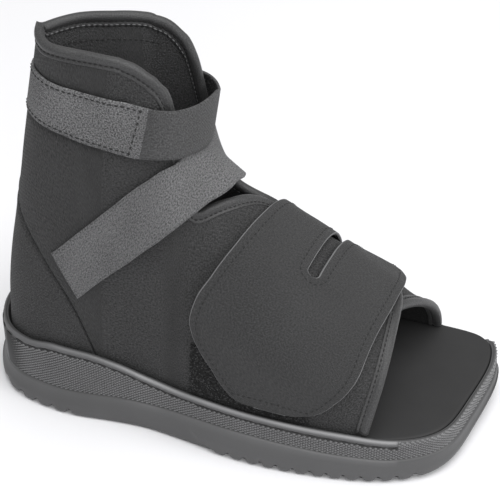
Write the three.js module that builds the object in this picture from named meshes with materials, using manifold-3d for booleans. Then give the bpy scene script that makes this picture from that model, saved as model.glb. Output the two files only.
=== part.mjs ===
// A right-foot cast boot: a rubber cup sole with a flat insole, a padded cloth upper that is open at
// the toe and down the front, a forefoot flap with a slot, and two flat straps round the ankle.
// Millimetres, +X to the toe, +Y to the inner (medial) side, +Z up, origin on the floor below the middle.
import * as THREE from "three";
import Module from "manifold-3d";

const wasm = await Module();
wasm.setup();

// Driving dimensions
const INSOLE_TOP = 30;
const INSOLE_THICK = 5;
const GAP = 0.35;
const RIM_WALL = 4.6;
const CLOTH = 3;
const TAPE = 0.8;
const TAPE_WIDTH = 5.5;
const STRAP_THICK = 1.6;
const FLAP_THICK = 2;
const PATCH_THICK = 1.2;
const ANKLE_X = -60;
const SHAFT_LEAN = 6;
const SHAFT_TWIST = 0.18;

// Outer outline of the sole on the floor plan, as a closed smooth curve through these points.
const OUTLINE = [
  { at: "heel back", x: -154, y: -8 },
  { at: "heel corner, outer side", x: -141, y: -40 },
  { at: "heel, outer side", x: -106, y: -53 },
  { at: "waist, outer side", x: -50, y: -54 },
  { at: "ball, outer side", x: 20, y: -63 },
  { at: "forefoot, outer side", x: 75, y: -60 },
  { at: "toe start, outer side", x: 112, y: -50 },
  { at: "toe corner, outer side", x: 134, y: -32 },
  { at: "toe edge", x: 144, y: 0 },
  { at: "toe tip", x: 150, y: 36 },
  { at: "toe corner, inner side", x: 143, y: 57 },
  { at: "toe start, inner side", x: 118, y: 64 },
  { at: "ball, inner side", x: 50, y: 63 },
  { at: "arch, inner side", x: -20, y: 52 },
  { at: "waist, inner side", x: -70, y: 42 },
  { at: "heel, inner side", x: -110, y: 38 },
  { at: "heel corner, inner side", x: -141, y: 23 },
];
// Height of the sole's rim and of its underside along the foot.
const RIM = [
  { x: -154, z: 51 },
  { x: -130, z: 48.5 },
  { x: -105, z: 50 },
  { x: -85, z: 47.8 },
  { x: -65, z: 44 },
  { x: -45, z: 40.8 },
  { x: -20, z: 39.2 },
  { x: 20, z: 38.2 },
  { x: 75, z: 34.8 },
  { x: 108, z: 31 },
  { x: 150, z: 29.5 },
];
const UNDERSIDE = [
  { x: -154, z: 9 },
  { x: -140, z: 3 },
  { x: -118, z: 0 },
  { x: 40, z: 0 },
  { x: 85, z: 1.5 },
  { x: 120, z: 6 },
  { x: 150, z: 14 },
];
// Crest of the closed boot along the foot: down the front of the ankle, over the instep, to the toes.
const CREST = [
  { x: -60, z: 308 },
  { x: -44, z: 297 },
  { x: -38, z: 277 },
  { x: -32.5, z: 243 },
  { x: -27.5, z: 202 },
  { x: -20.5, z: 172 },
  { x: -14, z: 161 },
  { x: -6, z: 152 },
  { x: 10, z: 140 },
  { x: 28, z: 129 },
  { x: 50, z: 114 },
  { x: 75, z: 95 },
  { x: 100, z: 78 },
  { x: 130, z: 64 },
];
// The same crest round the heel, well above the collar: angle 90 is the side and 180 the back.
const CREST_HEEL = [
  { angle: 90, z: 308 },
  { angle: 135, z: 354 },
  { angle: 160, z: 407 },
  { angle: 180, z: 460 },
];
// Roundness of a cross-section: 2 is an ellipse, less is slacker, more is squarer.
const ROUND_BACK = 1.2;
const ROUND_ANKLE = 1.8;
const ROUND_VAMP = 2.25;
const ROUND_CHANGE = { from: -30, to: 40 };
// Top edge of the upper: height along the collar, the shaft's front edge and the throat, on each side.
const EDGE_OUTER = [
  { x: -60, z: 242 },
  { x: -53, z: 239.8 },
  { x: -44, z: 235 },
  { x: -38.3, z: 228 },
  { x: -35.2, z: 219.5 },
  { x: -33.3, z: 209 },
  { x: -31, z: 190 },
  { x: -25.5, z: 166 },
  { x: -18, z: 154.5 },
  { x: -10, z: 153 },
  { x: -3, z: 150 },
];
const EDGE_INNER = [
  { x: -60, z: 242 },
  { x: -53, z: 240.5 },
  { x: -47, z: 238 },
  { x: -42, z: 234 },
  { x: -38, z: 228 },
  { x: -35, z: 220 },
  { x: -33.2, z: 209 },
  { x: -31.5, z: 190 },
  { x: -26, z: 162 },
  { x: -16, z: 148 },
  { x: -5, z: 142 },
  { x: 6, z: 138 },
];
const COLLAR_SWELL = 3.5;
// Shares of a section, from 0 at the sole to 1 at the crest and 2 at the sole of the other side.
const OUTER_OVERLAP = 1.09;
const INNER_REACH = 0.82;
const VAMP_FRONT = {
  outer: { x: 91, slant: -1, bow: 4.5, corner: 0.16 },
  inner: { x: 110, slant: -17, bow: 2, corner: 0.2 },
};
const CORNER_LENGTH = 10;
const FRONT_SHAPED_FROM = 40;
const THROAT_RUNOUT = 15;
// Seam of the heel panel: height at each angle from the side (90) to the back (180).
const HEEL_SEAM = [
  { angle: 108, z: 30.4 },
  { angle: 114.4, z: 48.6 },
  { angle: 130, z: 85.6 },
  { angle: 140, z: 101.5 },
  { angle: 152.7, z: 122 },
  { angle: 160, z: 131 },
  { angle: 180, z: 143 },
];
// The flap: for each share of the section, where its rear and front edges lie along the foot.
const FLAP = [
  { share: 0.075, rear: 20, front: 42 },
  { share: 0.09, rear: 10, front: 49 },
  { share: 0.12, rear: 4.5, front: 56 },
  { share: 0.18, rear: -6, front: 67 },
  { share: 0.225, rear: -13.5, front: 73 },
  { share: 0.275, rear: -18.5, front: 76.5 },
  { share: 0.38, rear: -15, front: 80 },
  { share: 0.52, rear: -7, front: 83 },
  { share: 0.73, rear: 3, front: 86.5 },
  { share: 1.0, rear: 11, front: 90 },
  { share: 1.3, rear: 16, front: 90.5 },
  { share: 1.9, rear: 20, front: 92 },
];
const SLOT = { start: 0.8, rear: 42.5, width: 6, drift: 18 };
const PATCH = { rear: -18, front: 55, high: 0.225 };
const RIM_CLEAR = 1;
// The straps: at each step, the angle round the ankle, the height and the stand-off from the boot, for
// the lower and the upper edge. Angle 0 is the front, -90 the outer side.
const ANKLE_STRAP = [
  { lowAngle: -252, low: 186, lowLift: 0.6, highAngle: -252, high: 217, highLift: 0.6 },
  { lowAngle: -216, low: 194, lowLift: 0.5, highAngle: -216, high: 225, highLift: 0.5 },
  { lowAngle: -180, low: 198.5, lowLift: 0.5, highAngle: -180, high: 229, highLift: 0.5 },
  { lowAngle: -144, low: 194.5, lowLift: 0.5, highAngle: -144, high: 225.2, highLift: 0.5 },
  { lowAngle: -108, low: 191, lowLift: 0.5, highAngle: -108, high: 222, highLift: 0.5 },
  { lowAngle: -77, low: 189.5, lowLift: 0.8, highAngle: -72, high: 219.4, highLift: 0.8 },
  { lowAngle: -57, low: 189.5, lowLift: 2.8, highAngle: -55, high: 217.7, highLift: 2.6 },
  { lowAngle: -40, low: 188.5, lowLift: 4, highAngle: -40, high: 216, highLift: 5 },
  { lowAngle: -17, low: 186.5, lowLift: 3.2, highAngle: -17, high: 214, highLift: 7.5 },
  { lowAngle: 7, low: 185, lowLift: 3.2, highAngle: 7, high: 213, highLift: 8 },
  { lowAngle: 39, low: 180, lowLift: 4.6, highAngle: 39, high: 208, highLift: 5.5 },
  { lowAngle: 64, low: 181, lowLift: 2.8, highAngle: 64, high: 209, highLift: 2.6 },
  { lowAngle: 86, low: 182, lowLift: 1.5, highAngle: 86, high: 211, highLift: 1.5 },
];
const INSTEP_STRAP = [
  { lowAngle: -124, low: 88.3, lowLift: 0.5, highAngle: -140, high: 115, highLift: 0.5 },
  { lowAngle: -113, low: 101.2, lowLift: 0.5, highAngle: -126, high: 136, highLift: 0.5 },
  { lowAngle: -84, low: 121, lowLift: 0.5, highAngle: -95, high: 157.3, highLift: 0.5 },
  { lowAngle: -65, low: 138.5, lowLift: 1.6, highAngle: -70, high: 176, highLift: 1.4 },
  { lowAngle: -48, low: 150, lowLift: 3, highAngle: -51, high: 187, highLift: 2.4 },
  { lowAngle: -21, low: 156, lowLift: 3.6, highAngle: -22, high: 190, highLift: 0.9 },
  { lowAngle: -1, low: 158.5, lowLift: 4, highAngle: -3, high: 190, highLift: 0.6 },
  { lowAngle: 20, low: 156, lowLift: 4.4, highAngle: 18, high: 188, highLift: 0.9 },
  { lowAngle: 42, low: 148, lowLift: 3.2, highAngle: 42, high: 184, highLift: 2.4 },
  { lowAngle: 62, low: 137, lowLift: 2, highAngle: 66, high: 174, highLift: 1.8 },
  { lowAngle: 84, low: 120, lowLift: 0.8, highAngle: 95, high: 156, highLift: 0.8 },
  { lowAngle: 112, low: 101, lowLift: 0.6, highAngle: 124, high: 136, highLift: 0.6 },
  { lowAngle: 122, low: 90, lowLift: 0.6, highAngle: 136, high: 117, highLift: 0.6 },
];
const COLOURS = {
  rubber: 0x5a5a5c,
  foam: 0x343436,
  cloth: 0x3a3a3c,
  tape: 0x4c4c4e,
  flap: 0x434345,
  webbing: 0x646466,
  loop: 0x222224,
};

// Smooth reading of a table
function along(rows, key, value, at) {
  const last = rows.length - 1;
  if (at <= rows[0][key]) return rows[0][value];
  if (at >= rows[last][key]) return rows[last][value];
  const slope = (i) => (rows[i + 1][value] - rows[i][value]) / (rows[i + 1][key] - rows[i][key]);
  const tangent = (i) => {
    if (i === 0) return slope(0);
    if (i === last) return slope(last - 1);
    const before = slope(i - 1);
    const after = slope(i);
    return before * after <= 0 ? 0 : (2 * before * after) / (before + after);
  };
  let i = 0;
  while (rows[i + 1][key] < at) i += 1;
  const span = rows[i + 1][key] - rows[i][key];
  const t = (at - rows[i][key]) / span;
  const rise = t * t * (3 - 2 * t);
  return (
    rows[i][value] * (1 - rise) +
    rows[i + 1][value] * rise +
    span * t * (1 - t) * (tangent(i) * (1 - t) - tangent(i + 1) * t)
  );
}
const eased = (from, to, at) => THREE.MathUtils.smoothstep(at, from, to);
const spread = (from, to, steps) =>
  Array.from({ length: steps + 1 }, (_, i) => from + ((to - from) * i) / steps);

// The sole's outline, with the inward direction at each point
const outlineCurve = new THREE.CatmullRomCurve3(
  OUTLINE.map((p) => new THREE.Vector3(p.x, p.y, 0)),
  true,
  "catmullrom",
  0.5,
);
const OUTLINE_SAMPLES = OUTLINE.length * 24;
const outlinePoints = spread(0, 1, OUTLINE_SAMPLES)
  .slice(0, -1)
  .map((t) => {
    const point = outlineCurve.getPoint(t);
    const tangent = outlineCurve.getTangent(t);
    return { x: point.x, y: point.y, inX: -tangent.y, inY: tangent.x };
  });
const byX = (a, b) => a.x - b.x;
const tip = outlinePoints.reduce((best, p, i) => (p.x > outlinePoints[best].x ? i : best), 0);
const heel = outlinePoints.reduce((best, p, i) => (p.x < outlinePoints[best].x ? i : best), 0);
const ring = [...outlinePoints.slice(heel), ...outlinePoints.slice(0, heel)];
const tipInRing = (tip - heel + OUTLINE_SAMPLES) % OUTLINE_SAMPLES;
const sides = {
  outer: ring.slice(0, tipInRing + 1).sort(byX),
  inner: [...ring.slice(tipInRing), ring[0]].sort(byX),
};
function outlineAt(side, x) {
  const chain = sides[side];
  let i = 0;
  while (i < chain.length - 2 && chain[i + 1].x < x) i += 1;
  const a = chain[i];
  const b = chain[i + 1];
  const t = THREE.MathUtils.clamp((x - a.x) / (b.x - a.x), 0, 1);
  const mix = (key) => a[key] + (b[key] - a[key]) * t;
  return { x: mix("x"), y: mix("y"), inX: mix("inX"), inY: mix("inY") };
}

// Solids from loops and grids
function closedGeometry(points, triangles) {
  const geometry = new THREE.BufferGeometry();
  const places = points.flatMap((p) => [p.x, p.y, p.z]);
  geometry.setAttribute("position", new THREE.Float32BufferAttribute(places, 3));
  const volume = triangles.reduce(
    (sum, [a, b, c]) => sum + points[a].dot(new THREE.Vector3().crossVectors(points[b], points[c])),
    0,
  );
  const outward = volume > 0 ? triangles : triangles.map(([a, b, c]) => [a, c, b]);
  geometry.setIndex(outward.flat());
  return geometry;
}

// Rings of paired points, stacked into one solid: ring point i and its partner close both ends.
function stackedGeometry(rings) {
  const count = rings[0].length;
  const half = count / 2;
  const points = rings.flat();
  const triangles = [];
  for (let r = 0; r + 1 < rings.length; r += 1)
    for (let i = 0; i < count; i += 1) {
      const next = (i + 1) % count;
      const low = r * count;
      const high = low + count;
      triangles.push([low + i, low + next, high + next], [low + i, high + next, high + i]);
    }
  const cap = (start, order) => {
    for (let i = 0; i < half; i += 1) {
      const near = start + i;
      const nearNext = start + i + 1;
      const far = start + ((count - i) % count);
      const farNext = start + count - i - 1;
      if (near !== far) triangles.push(order([near, far, nearNext]));
      if (nearNext !== farNext) triangles.push(order([far, farNext, nearNext]));
    }
  };
  cap(0, (t) => t);
  cap(points.length - count, ([a, b, c]) => [a, c, b]);
  return closedGeometry(points, triangles);
}

const pick = (frames, key) => frames.map((column) => column.map((frame) => frame[key]));
function gridNormals(grid) {
  const at = (i) => grid[THREE.MathUtils.clamp(i, 0, grid.length - 1)];
  return grid.map((column, i) =>
    column.map((_, j) => {
      const alongGrid = at(i + 1)[j].clone().sub(at(i - 1)[j]);
      const last = column.length - 1;
      const acrossGrid = column[Math.min(j + 1, last)].clone().sub(column[Math.max(j - 1, 0)]);
      return acrossGrid.cross(alongGrid).normalize();
    }),
  );
}

// A wall of even thickness on a grid of points. Seen from outside, the grid's columns run to the left
// and its rows up; lift is how far the wall's inner face stands off the grid.
function wallGeometry(grid, thickness, lift, { normals = gridNormals(grid), isOpen = () => false } = {}) {
  const rows = grid[0].length;
  const inner = [];
  const outer = [];
  grid.forEach((column, i) =>
    column.forEach((point, j) => {
      inner.push(point.clone().addScaledVector(normals[i][j], lift));
      outer.push(point.clone().addScaledVector(normals[i][j], lift + thickness));
    }),
  );
  const count = inner.length;
  const triangles = [];
  const edges = new Map();
  for (let i = 0; i + 1 < grid.length; i += 1)
    for (let j = 0; j + 1 < rows; j += 1) {
      if (isOpen(i, j)) continue;
      const quad = [i * rows + j, (i + 1) * rows + j, (i + 1) * rows + j + 1, i * rows + j + 1];
      triangles.push([quad[0], quad[1], quad[2]], [quad[0], quad[2], quad[3]]);
      triangles.push(
        [count + quad[0], count + quad[2], count + quad[1]],
        [count + quad[0], count + quad[3], count + quad[2]],
      );
      quad.forEach((from, k) => {
        const to = quad[(k + 1) % 4];
        const back = `${to},${from}`;
        if (!edges.delete(back)) edges.set(`${from},${to}`, [from, to]);
      });
    }
  for (const [from, to] of edges.values())
    triangles.push([to, from, count + from], [to, count + from, count + to]);
  return closedGeometry([...inner, ...outer], triangles);
}

// The cup sole: rings from the tread up the side, over the rim and down to the footbed
const SOLE_STEPS = 44;
const SOLE_PROFILE = [
  { name: "tread edge", from: "underside", rise: 0, inset: 3 },
  { name: "tread bevel", from: "underside", rise: 3.5, inset: 0.6 },
  { name: "lower band", from: "share", rise: 0.3, inset: 0 },
  { name: "ledge", from: "share", rise: 0.45, inset: 0.2 },
  { name: "knurled band, foot", from: "share", rise: 0.49, inset: 1.3 },
  { name: "knurled band, top", from: "rim", rise: -7.5, inset: 1.5 },
  { name: "groove", from: "rim", rise: -6.3, inset: 1.5, rib: 0.8 },
  { name: "rib, foot", from: "rim", rise: -5.2, inset: 1.5, rib: -0.3 },
  { name: "rib, middle", from: "rim", rise: -3, inset: 1.5, rib: -1 },
  { name: "rib, top", from: "rim", rise: -1, inset: 1.8, rib: -0.4 },
  { name: "rim", from: "rim", rise: 0, inset: 3 },
  { name: "inner lip", from: "rim", rise: -0.6, inset: RIM_WALL },
];
const RIB_END = { from: 106, to: 109 };
const FOOTBED = INSOLE_TOP - INSOLE_THICK - GAP;
const rimAt = (x) => along(RIM, "x", "z", x);
const undersideAt = (x) => along(UNDERSIDE, "x", "z", x);

const soleEnds = { heel: ring[0].x, tip: ring[tipInRing].x };
const soleXs = spread(0, Math.PI, SOLE_STEPS).map((turn) =>
  THREE.MathUtils.mapLinear(-Math.cos(turn), -1, 1, soleEnds.heel, soleEnds.tip),
);
const soleRingPoints = [
  ...soleXs.map((x) => outlineAt("outer", x)),
  ...soleXs.slice(1, -1).reverse().map((x) => outlineAt("inner", x)),
];
const soleRing = (inset, height) =>
  soleRingPoints.map((p) => {
    const depth = inset(p.x);
    return new THREE.Vector3(p.x + p.inX * depth, p.y + p.inY * depth, height(p.x));
  });

function soleGeometry() {
  const heights = {
    underside: (x, rise) => undersideAt(x) + rise,
    share: (x, rise) => undersideAt(x) + (rimAt(x) - undersideAt(x)) * rise,
    rim: (x, rise) => rimAt(x) + rise,
  };
  const ribAt = (x) => 1 - eased(RIB_END.from, RIB_END.to, x);
  const rings = SOLE_PROFILE.map((row) =>
    soleRing(
      (x) => row.inset + (row.rib ?? 0) * ribAt(x),
      (x) => heights[row.from](x, row.rise),
    ),
  );
  rings.push(soleRing(() => RIM_WALL, () => FOOTBED));
  return stackedGeometry(rings);
}

// Grooves between the tread lugs, cut across the heel and the forefoot
const LUGS = [
  { from: -138, to: -98, count: 5 },
  { from: 8, to: 128, count: 13 },
];
const GROOVE = { width: 3.6, depth: 3, reach: 160 };

function solidOf(geometry) {
  return new wasm.Manifold(
    new wasm.Mesh({
      numProp: 3,
      vertProperties: geometry.getAttribute("position").array,
      triVerts: new Uint32Array(geometry.index.array),
    }),
  );
}
function geometryOf(solid) {
  const mesh = solid.getMesh();
  const geometry = new THREE.BufferGeometry();
  geometry.setAttribute("position", new THREE.BufferAttribute(mesh.vertProperties, 3));
  geometry.setIndex(new THREE.BufferAttribute(mesh.triVerts, 1));
  return geometry;
}
function boxGeometry(width, length, height, centre) {
  const corners = [-1, 1].flatMap((k) =>
    [
      [-1, -1],
      [1, -1],
      [1, 1],
      [-1, 1],
    ].map(
      ([i, j]) =>
        new THREE.Vector3(
          centre.x + (i * width) / 2,
          centre.y + (j * length) / 2,
          centre.z + (k * height) / 2,
        ),
    ),
  );
  return stackedGeometry([corners.slice(0, 4), corners.slice(4)]);
}
function treadedSole() {
  let solid = solidOf(soleGeometry());
  for (const row of LUGS)
    for (const x of spread(row.from, row.to, row.count - 1)) {
      const centre = new THREE.Vector3(x, 0, undersideAt(x));
      const groove = boxGeometry(GROOVE.width, GROOVE.reach, 2 * GROOVE.depth, centre);
      solid = solid.subtract(solidOf(groove));
    }
  return geometryOf(solid);
}

// The insole: a flat foam plate with a softened top edge
const INSOLE_PROFILE = [
  { z: INSOLE_TOP - INSOLE_THICK, inset: 0 },
  { z: INSOLE_TOP - 1.2, inset: 0 },
  { z: INSOLE_TOP, inset: 1 },
];
const insoleGeometry = () =>
  stackedGeometry(
    INSOLE_PROFILE.map((row) => soleRing(() => RIM_WALL + GAP + row.inset, () => row.z)),
  );

// The form of the boot: sections that rise from the insole and close over the crest
const FORM_INSET = RIM_WALL + 0.7;
const FORM_FOOT = INSOLE_TOP + 0.4;
const FORM_TOP = FORM_FOOT + 210;
const HEEL_ARC = 100;
const formSide = (x, side) => {
  const p = outlineAt(side, x);
  return p.y + p.inY * FORM_INSET;
};
// Sideways lean of the shaft with height, less towards the back of the heel
const lean = (x, z) => {
  const rise = Math.max(0, (z - FORM_FOOT) / (FORM_TOP - FORM_FOOT));
  return rise * (SHAFT_LEAN + SHAFT_TWIST * Math.min(0, x - ANKLE_X));
};
const ankle = new THREE.Vector2(ANKLE_X, (formSide(ANKLE_X, "outer") + formSide(ANKLE_X, "inner")) / 2);
const heelRadii = ring
  .map((p) => new THREE.Vector2(p.x + p.inX * FORM_INSET, p.y + p.inY * FORM_INSET).sub(ankle))
  .map((v) => ({ angle: v.angle(), radius: v.length() }))
  .sort((a, b) => a.angle - b.angle);
function heelRadius(angle) {
  let i = 0;
  while (i < heelRadii.length - 2 && heelRadii[i + 1].angle < angle) i += 1;
  const a = heelRadii[i];
  const b = heelRadii[i + 1];
  return THREE.MathUtils.mapLinear(angle, a.angle, b.angle, a.radius, b.radius);
}

// A station is one section of the form: where it starts, its middle, its crest and its roundness.
function sideStation(x, side) {
  const start = formSide(x, side);
  const middle = (start + formSide(x, side === "outer" ? "inner" : "outer")) / 2;
  return {
    start: new THREE.Vector2(x, start),
    middle: new THREE.Vector2(x, middle),
    crest: along(CREST, "x", "z", x),
    round: THREE.MathUtils.lerp(ROUND_ANKLE, ROUND_VAMP, eased(ROUND_CHANGE.from, ROUND_CHANGE.to, x)),
  };
}
function heelStation(angle) {
  const back = eased(0, 1, Math.abs(Math.cos(angle)));
  const reach = new THREE.Vector2(Math.cos(angle), Math.sin(angle)).multiplyScalar(heelRadius(angle));
  return {
    start: ankle.clone().add(reach),
    middle: ankle,
    crest: along(CREST_HEEL, "angle", "z", THREE.MathUtils.radToDeg(Math.acos(Math.cos(angle)))),
    round: THREE.MathUtils.lerp(ROUND_ANKLE, ROUND_BACK, back),
  };
}
function pointOn(station, share) {
  const turn = (share * Math.PI) / 2;
  const power = 2 / station.round;
  const out = Math.sign(Math.cos(turn)) * Math.abs(Math.cos(turn)) ** power;
  const z = FORM_FOOT + (station.crest - FORM_FOOT) * Math.abs(Math.sin(turn)) ** power;
  const plan = station.start.clone().sub(station.middle).multiplyScalar(out).add(station.middle);
  return new THREE.Vector3(plan.x, plan.y + lean(plan.x, z), z);
}
function shareAt(station, z) {
  const height = THREE.MathUtils.clamp((z - FORM_FOOT) / (station.crest - FORM_FOOT), 0, 1);
  return (2 / Math.PI) * Math.asin(height ** (station.round / 2));
}

// Way round the boot in millimetres: outer vamp negative, heel back 0, inner vamp positive
const sideOf = (way) => (way < 0 ? "outer" : "inner");
const footX = (way) => ANKLE_X + Math.abs(way) - HEEL_ARC;
const wayAt = (x, side) => (side === "outer" ? -1 : 1) * (HEEL_ARC + x - ANKLE_X);
function vampX(way, share) {
  const x = footX(way);
  const front = VAMP_FRONT[sideOf(way)];
  const weight = eased(FRONT_SHAPED_FROM, front.x, x);
  return x + weight * (front.slant * share + front.bow * Math.sin(Math.PI * Math.min(share, 1)));
}
function stationAt(way, share) {
  if (Math.abs(way) > HEEL_ARC) return sideStation(vampX(way, share), sideOf(way));
  return heelStation(Math.PI - ((way / HEEL_ARC) * Math.PI) / 2);
}
const onForm = (way, share) => pointOn(stationAt(way, share), share);

function formFrame(way, share) {
  const step = 0.5;
  const rise = 0.004;
  const point = onForm(way, share);
  const alongWay = onForm(way + step, share).sub(onForm(way - step, share)).divideScalar(2 * step);
  const below = Math.max(share - rise, 0);
  const alongShare = onForm(way, below + 2 * rise).sub(onForm(way, below)).divideScalar(2 * rise);
  const normal = new THREE.Vector3().crossVectors(alongShare, alongWay).normalize();
  return { point, alongWay, alongShare, normal };
}

// Where the upper ends at its top, and where the heel panel starts
function topShare(way) {
  const station = stationAt(way, 0);
  const swell = COLLAR_SWELL * Math.sin((Math.PI * Math.abs(way)) / HEEL_ARC);
  if (Math.abs(way) <= HEEL_ARC) return shareAt(station, EDGE_OUTER[0].z + swell);
  const x = footX(way);
  const side = sideOf(way);
  const edge = side === "outer" ? EDGE_OUTER : EDGE_INNER;
  const end = edge[edge.length - 1].x;
  const reach = side === "outer" ? OUTER_OVERLAP : INNER_REACH;
  const blend = eased(end, end + THROAT_RUNOUT, x);
  const throat = shareAt(station, along(edge, "x", "z", x));
  const front = VAMP_FRONT[side];
  const corner = THREE.MathUtils.clamp((x - front.x + CORNER_LENGTH) / CORNER_LENGTH, 0, 1);
  return THREE.MathUtils.lerp(throat, reach, blend) - front.corner * (1 - Math.sqrt(1 - corner * corner));
}
const seamAngle = (way) => 90 + 90 * (1 - Math.abs(way) / HEEL_ARC);
function seamShare(way, drop) {
  if (Math.abs(way) > HEEL_ARC) return 0;
  const z = along(HEEL_SEAM, "angle", "z", seamAngle(way));
  return shareAt(stationAt(way, 0), Math.max(FORM_FOOT, z - drop));
}

// The cloth upper and the heel panel
const ROWS = 10;
const frontWay = { outer: wayAt(VAMP_FRONT.outer.x, "outer"), inner: wayAt(VAMP_FRONT.inner.x, "inner") };
const THROAT = { front: 12, corner: -20, back: -44 };
const sideXs = (side, vampSteps) => [
  ...spread(VAMP_FRONT[side].x, VAMP_FRONT[side].x - CORNER_LENGTH, 4).slice(0, -1),
  ...spread(VAMP_FRONT[side].x - CORNER_LENGTH, THROAT.front, vampSteps).slice(0, -1),
  ...spread(THROAT.front, THROAT.corner, 7).slice(0, -1),
  ...spread(THROAT.corner, THROAT.back, 9).slice(0, -1),
  ...spread(THROAT.back, ANKLE_X, 2).slice(0, -1),
];
const waysOn = {
  outer: sideXs("outer", 7).map((x) => wayAt(x, "outer")),
  inner: sideXs("inner", 9).map((x) => wayAt(x, "inner")).reverse(),
};
const upperWays = [...waysOn.outer, ...spread(-HEEL_ARC, HEEL_ARC, 20), ...waysOn.inner];
const upperFrames = upperWays.map((way) =>
  spread(seamShare(way, 0), topShare(way), ROWS).map((share) => formFrame(way, share)),
);
const PANEL_REACH = 77;
const PANEL_ROWS = 5;
const SEAM_DROP = 1;
const panelWays = [-PANEL_REACH, ...upperWays.filter((way) => Math.abs(way) < PANEL_REACH), PANEL_REACH];
const panelFrames = panelWays.map((way) =>
  spread(0, seamShare(way, SEAM_DROP), PANEL_ROWS).map((share) => formFrame(way, share)),
);
const clothGeometry = (frames) =>
  wallGeometry(pick(frames, "point"), CLOTH, -CLOTH, { normals: pick(frames, "normal") });

// Binding tape folded over a free edge: an open channel whose two flanges lie on the cloth
const OUTER_CLEAR = 0.75;
const INNER_CLEAR = 1.2;
function inwardFrame(edge, inward, distance) {
  const { alongWay: u, alongShare: v } = edge.frame;
  const uu = u.dot(u);
  const uv = u.dot(v);
  const vv = v.dot(v);
  const du = u.dot(inward) * distance;
  const dv = v.dot(inward) * distance;
  const area = uu * vv - uv * uv;
  const wayStep = (du * vv - dv * uv) / area;
  const shareStep = (dv * uu - du * uv) / area;
  return formFrame(edge.way + wayStep, edge.share + shareStep);
}
function bindingGeometry(path) {
  const edges = path.map(({ way, share }) => ({ way, share, frame: formFrame(way, share) }));
  const loops = edges.map((edge, i) => {
    const before = edges[Math.max(i - 1, 0)].frame.point;
    const after = edges[Math.min(i + 1, edges.length - 1)].frame.point;
    const tangent = after.clone().sub(before).normalize();
    const inward = new THREE.Vector3().crossVectors(edge.frame.normal, tangent).normalize();
    const flange = [TAPE_WIDTH, TAPE_WIDTH / 2].map((distance) => inwardFrame(edge, inward, distance));
    const face = (height, out) => [
      ...flange.map((frame) => frame.point.clone().addScaledVector(frame.normal, height)),
      edge.frame.point.clone().addScaledVector(edge.frame.normal, height).addScaledVector(inward, -out),
    ];
    const under = -CLOTH - INNER_CLEAR;
    return [
      ...face(OUTER_CLEAR + TAPE, GAP + TAPE),
      ...face(under - TAPE, GAP + TAPE).reverse(),
      ...face(under, GAP),
      ...face(OUTER_CLEAR, GAP).reverse(),
    ];
  });
  const size = loops[0].length;
  const triangles = [];
  for (let s = 0; s + 1 < loops.length; s += 1)
    for (let k = 0; k < size; k += 1) {
      const next = (k + 1) % size;
      const a = s * size;
      const b = a + size;
      triangles.push([a + k, a + next, b + next], [a + k, b + next, b + k]);
    }
  const channel = spread(0, size / 2 - 2, size / 2 - 2).flatMap((k) => [
    [k, k + 1, size - 2 - k],
    [k, size - 2 - k, size - 1 - k],
  ]);
  const end = (loops.length - 1) * size;
  channel.forEach(([a, b, c]) => triangles.push([a, c, b], [end + a, end + b, end + c]));
  return closedGeometry(loops.flat(), triangles);
}
const BINDING_END = 24;
const VAMP_TAPE_REACH = 22;
const collarPath = upperWays
  .filter((way) => Math.abs(way) <= HEEL_ARC || footX(way) < BINDING_END)
  .map((way) => ({ way, share: topShare(way) }));
function vampPath(side) {
  const way = frontWay[side];
  const foot = stationAt(way, 0);
  const low = shareAt(foot, rimAt(foot.start.x) + RIM_CLEAR);
  const above = spread(0, topShare(way), ROWS).filter((share) => share > low + 0.02);
  const rising = [low, ...above].map((share) => ({ way, share }));
  const corner = waysOn[side]
    .filter((at) => at !== way && footX(at) > VAMP_FRONT[side].x - VAMP_TAPE_REACH)
    .map((at) => ({ way: at, share: topShare(at) }));
  return side === "outer" ? [...rising, ...corner] : [...corner, ...rising.reverse()];
}

// The loop patch on the outer side, and the flap that closes over it
const patchGrid = spread(PATCH.front, PATCH.rear, 9).map((x) => {
  const station = sideStation(x, "outer");
  const low = shareAt(station, rimAt(x) + RIM_CLEAR);
  return spread(low, PATCH.high, 4).map((share) => pointOn(station, share));
});
const FLAP_LIFT = 2.2;
const FLAP_SHARES = [
  ...spread(0.075, 0.12, 2),
  ...spread(0.165, 0.3, 3),
  ...spread(0.38, SLOT.start, 5),
  ...spread(0.9, 1.3, 4),
  ...spread(1.42, 1.9, 4),
];
const FLAP_STEPS = 5;
const flapGrid = FLAP_SHARES.map((share) => {
  const rear = along(FLAP, "share", "rear", share);
  const front = along(FLAP, "share", "front", share);
  const slot = SLOT.rear + SLOT.drift * (share - SLOT.start);
  return [...spread(rear, slot, FLAP_STEPS), ...spread(slot + SLOT.width, front, FLAP_STEPS)].map((x) =>
    pointOn(sideStation(x, "outer"), share),
  );
});
const slotFrom = FLAP_SHARES.findIndex((share) => share >= SLOT.start);
const inSlot = (i, j) => i >= slotFrom && j === FLAP_STEPS;

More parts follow.
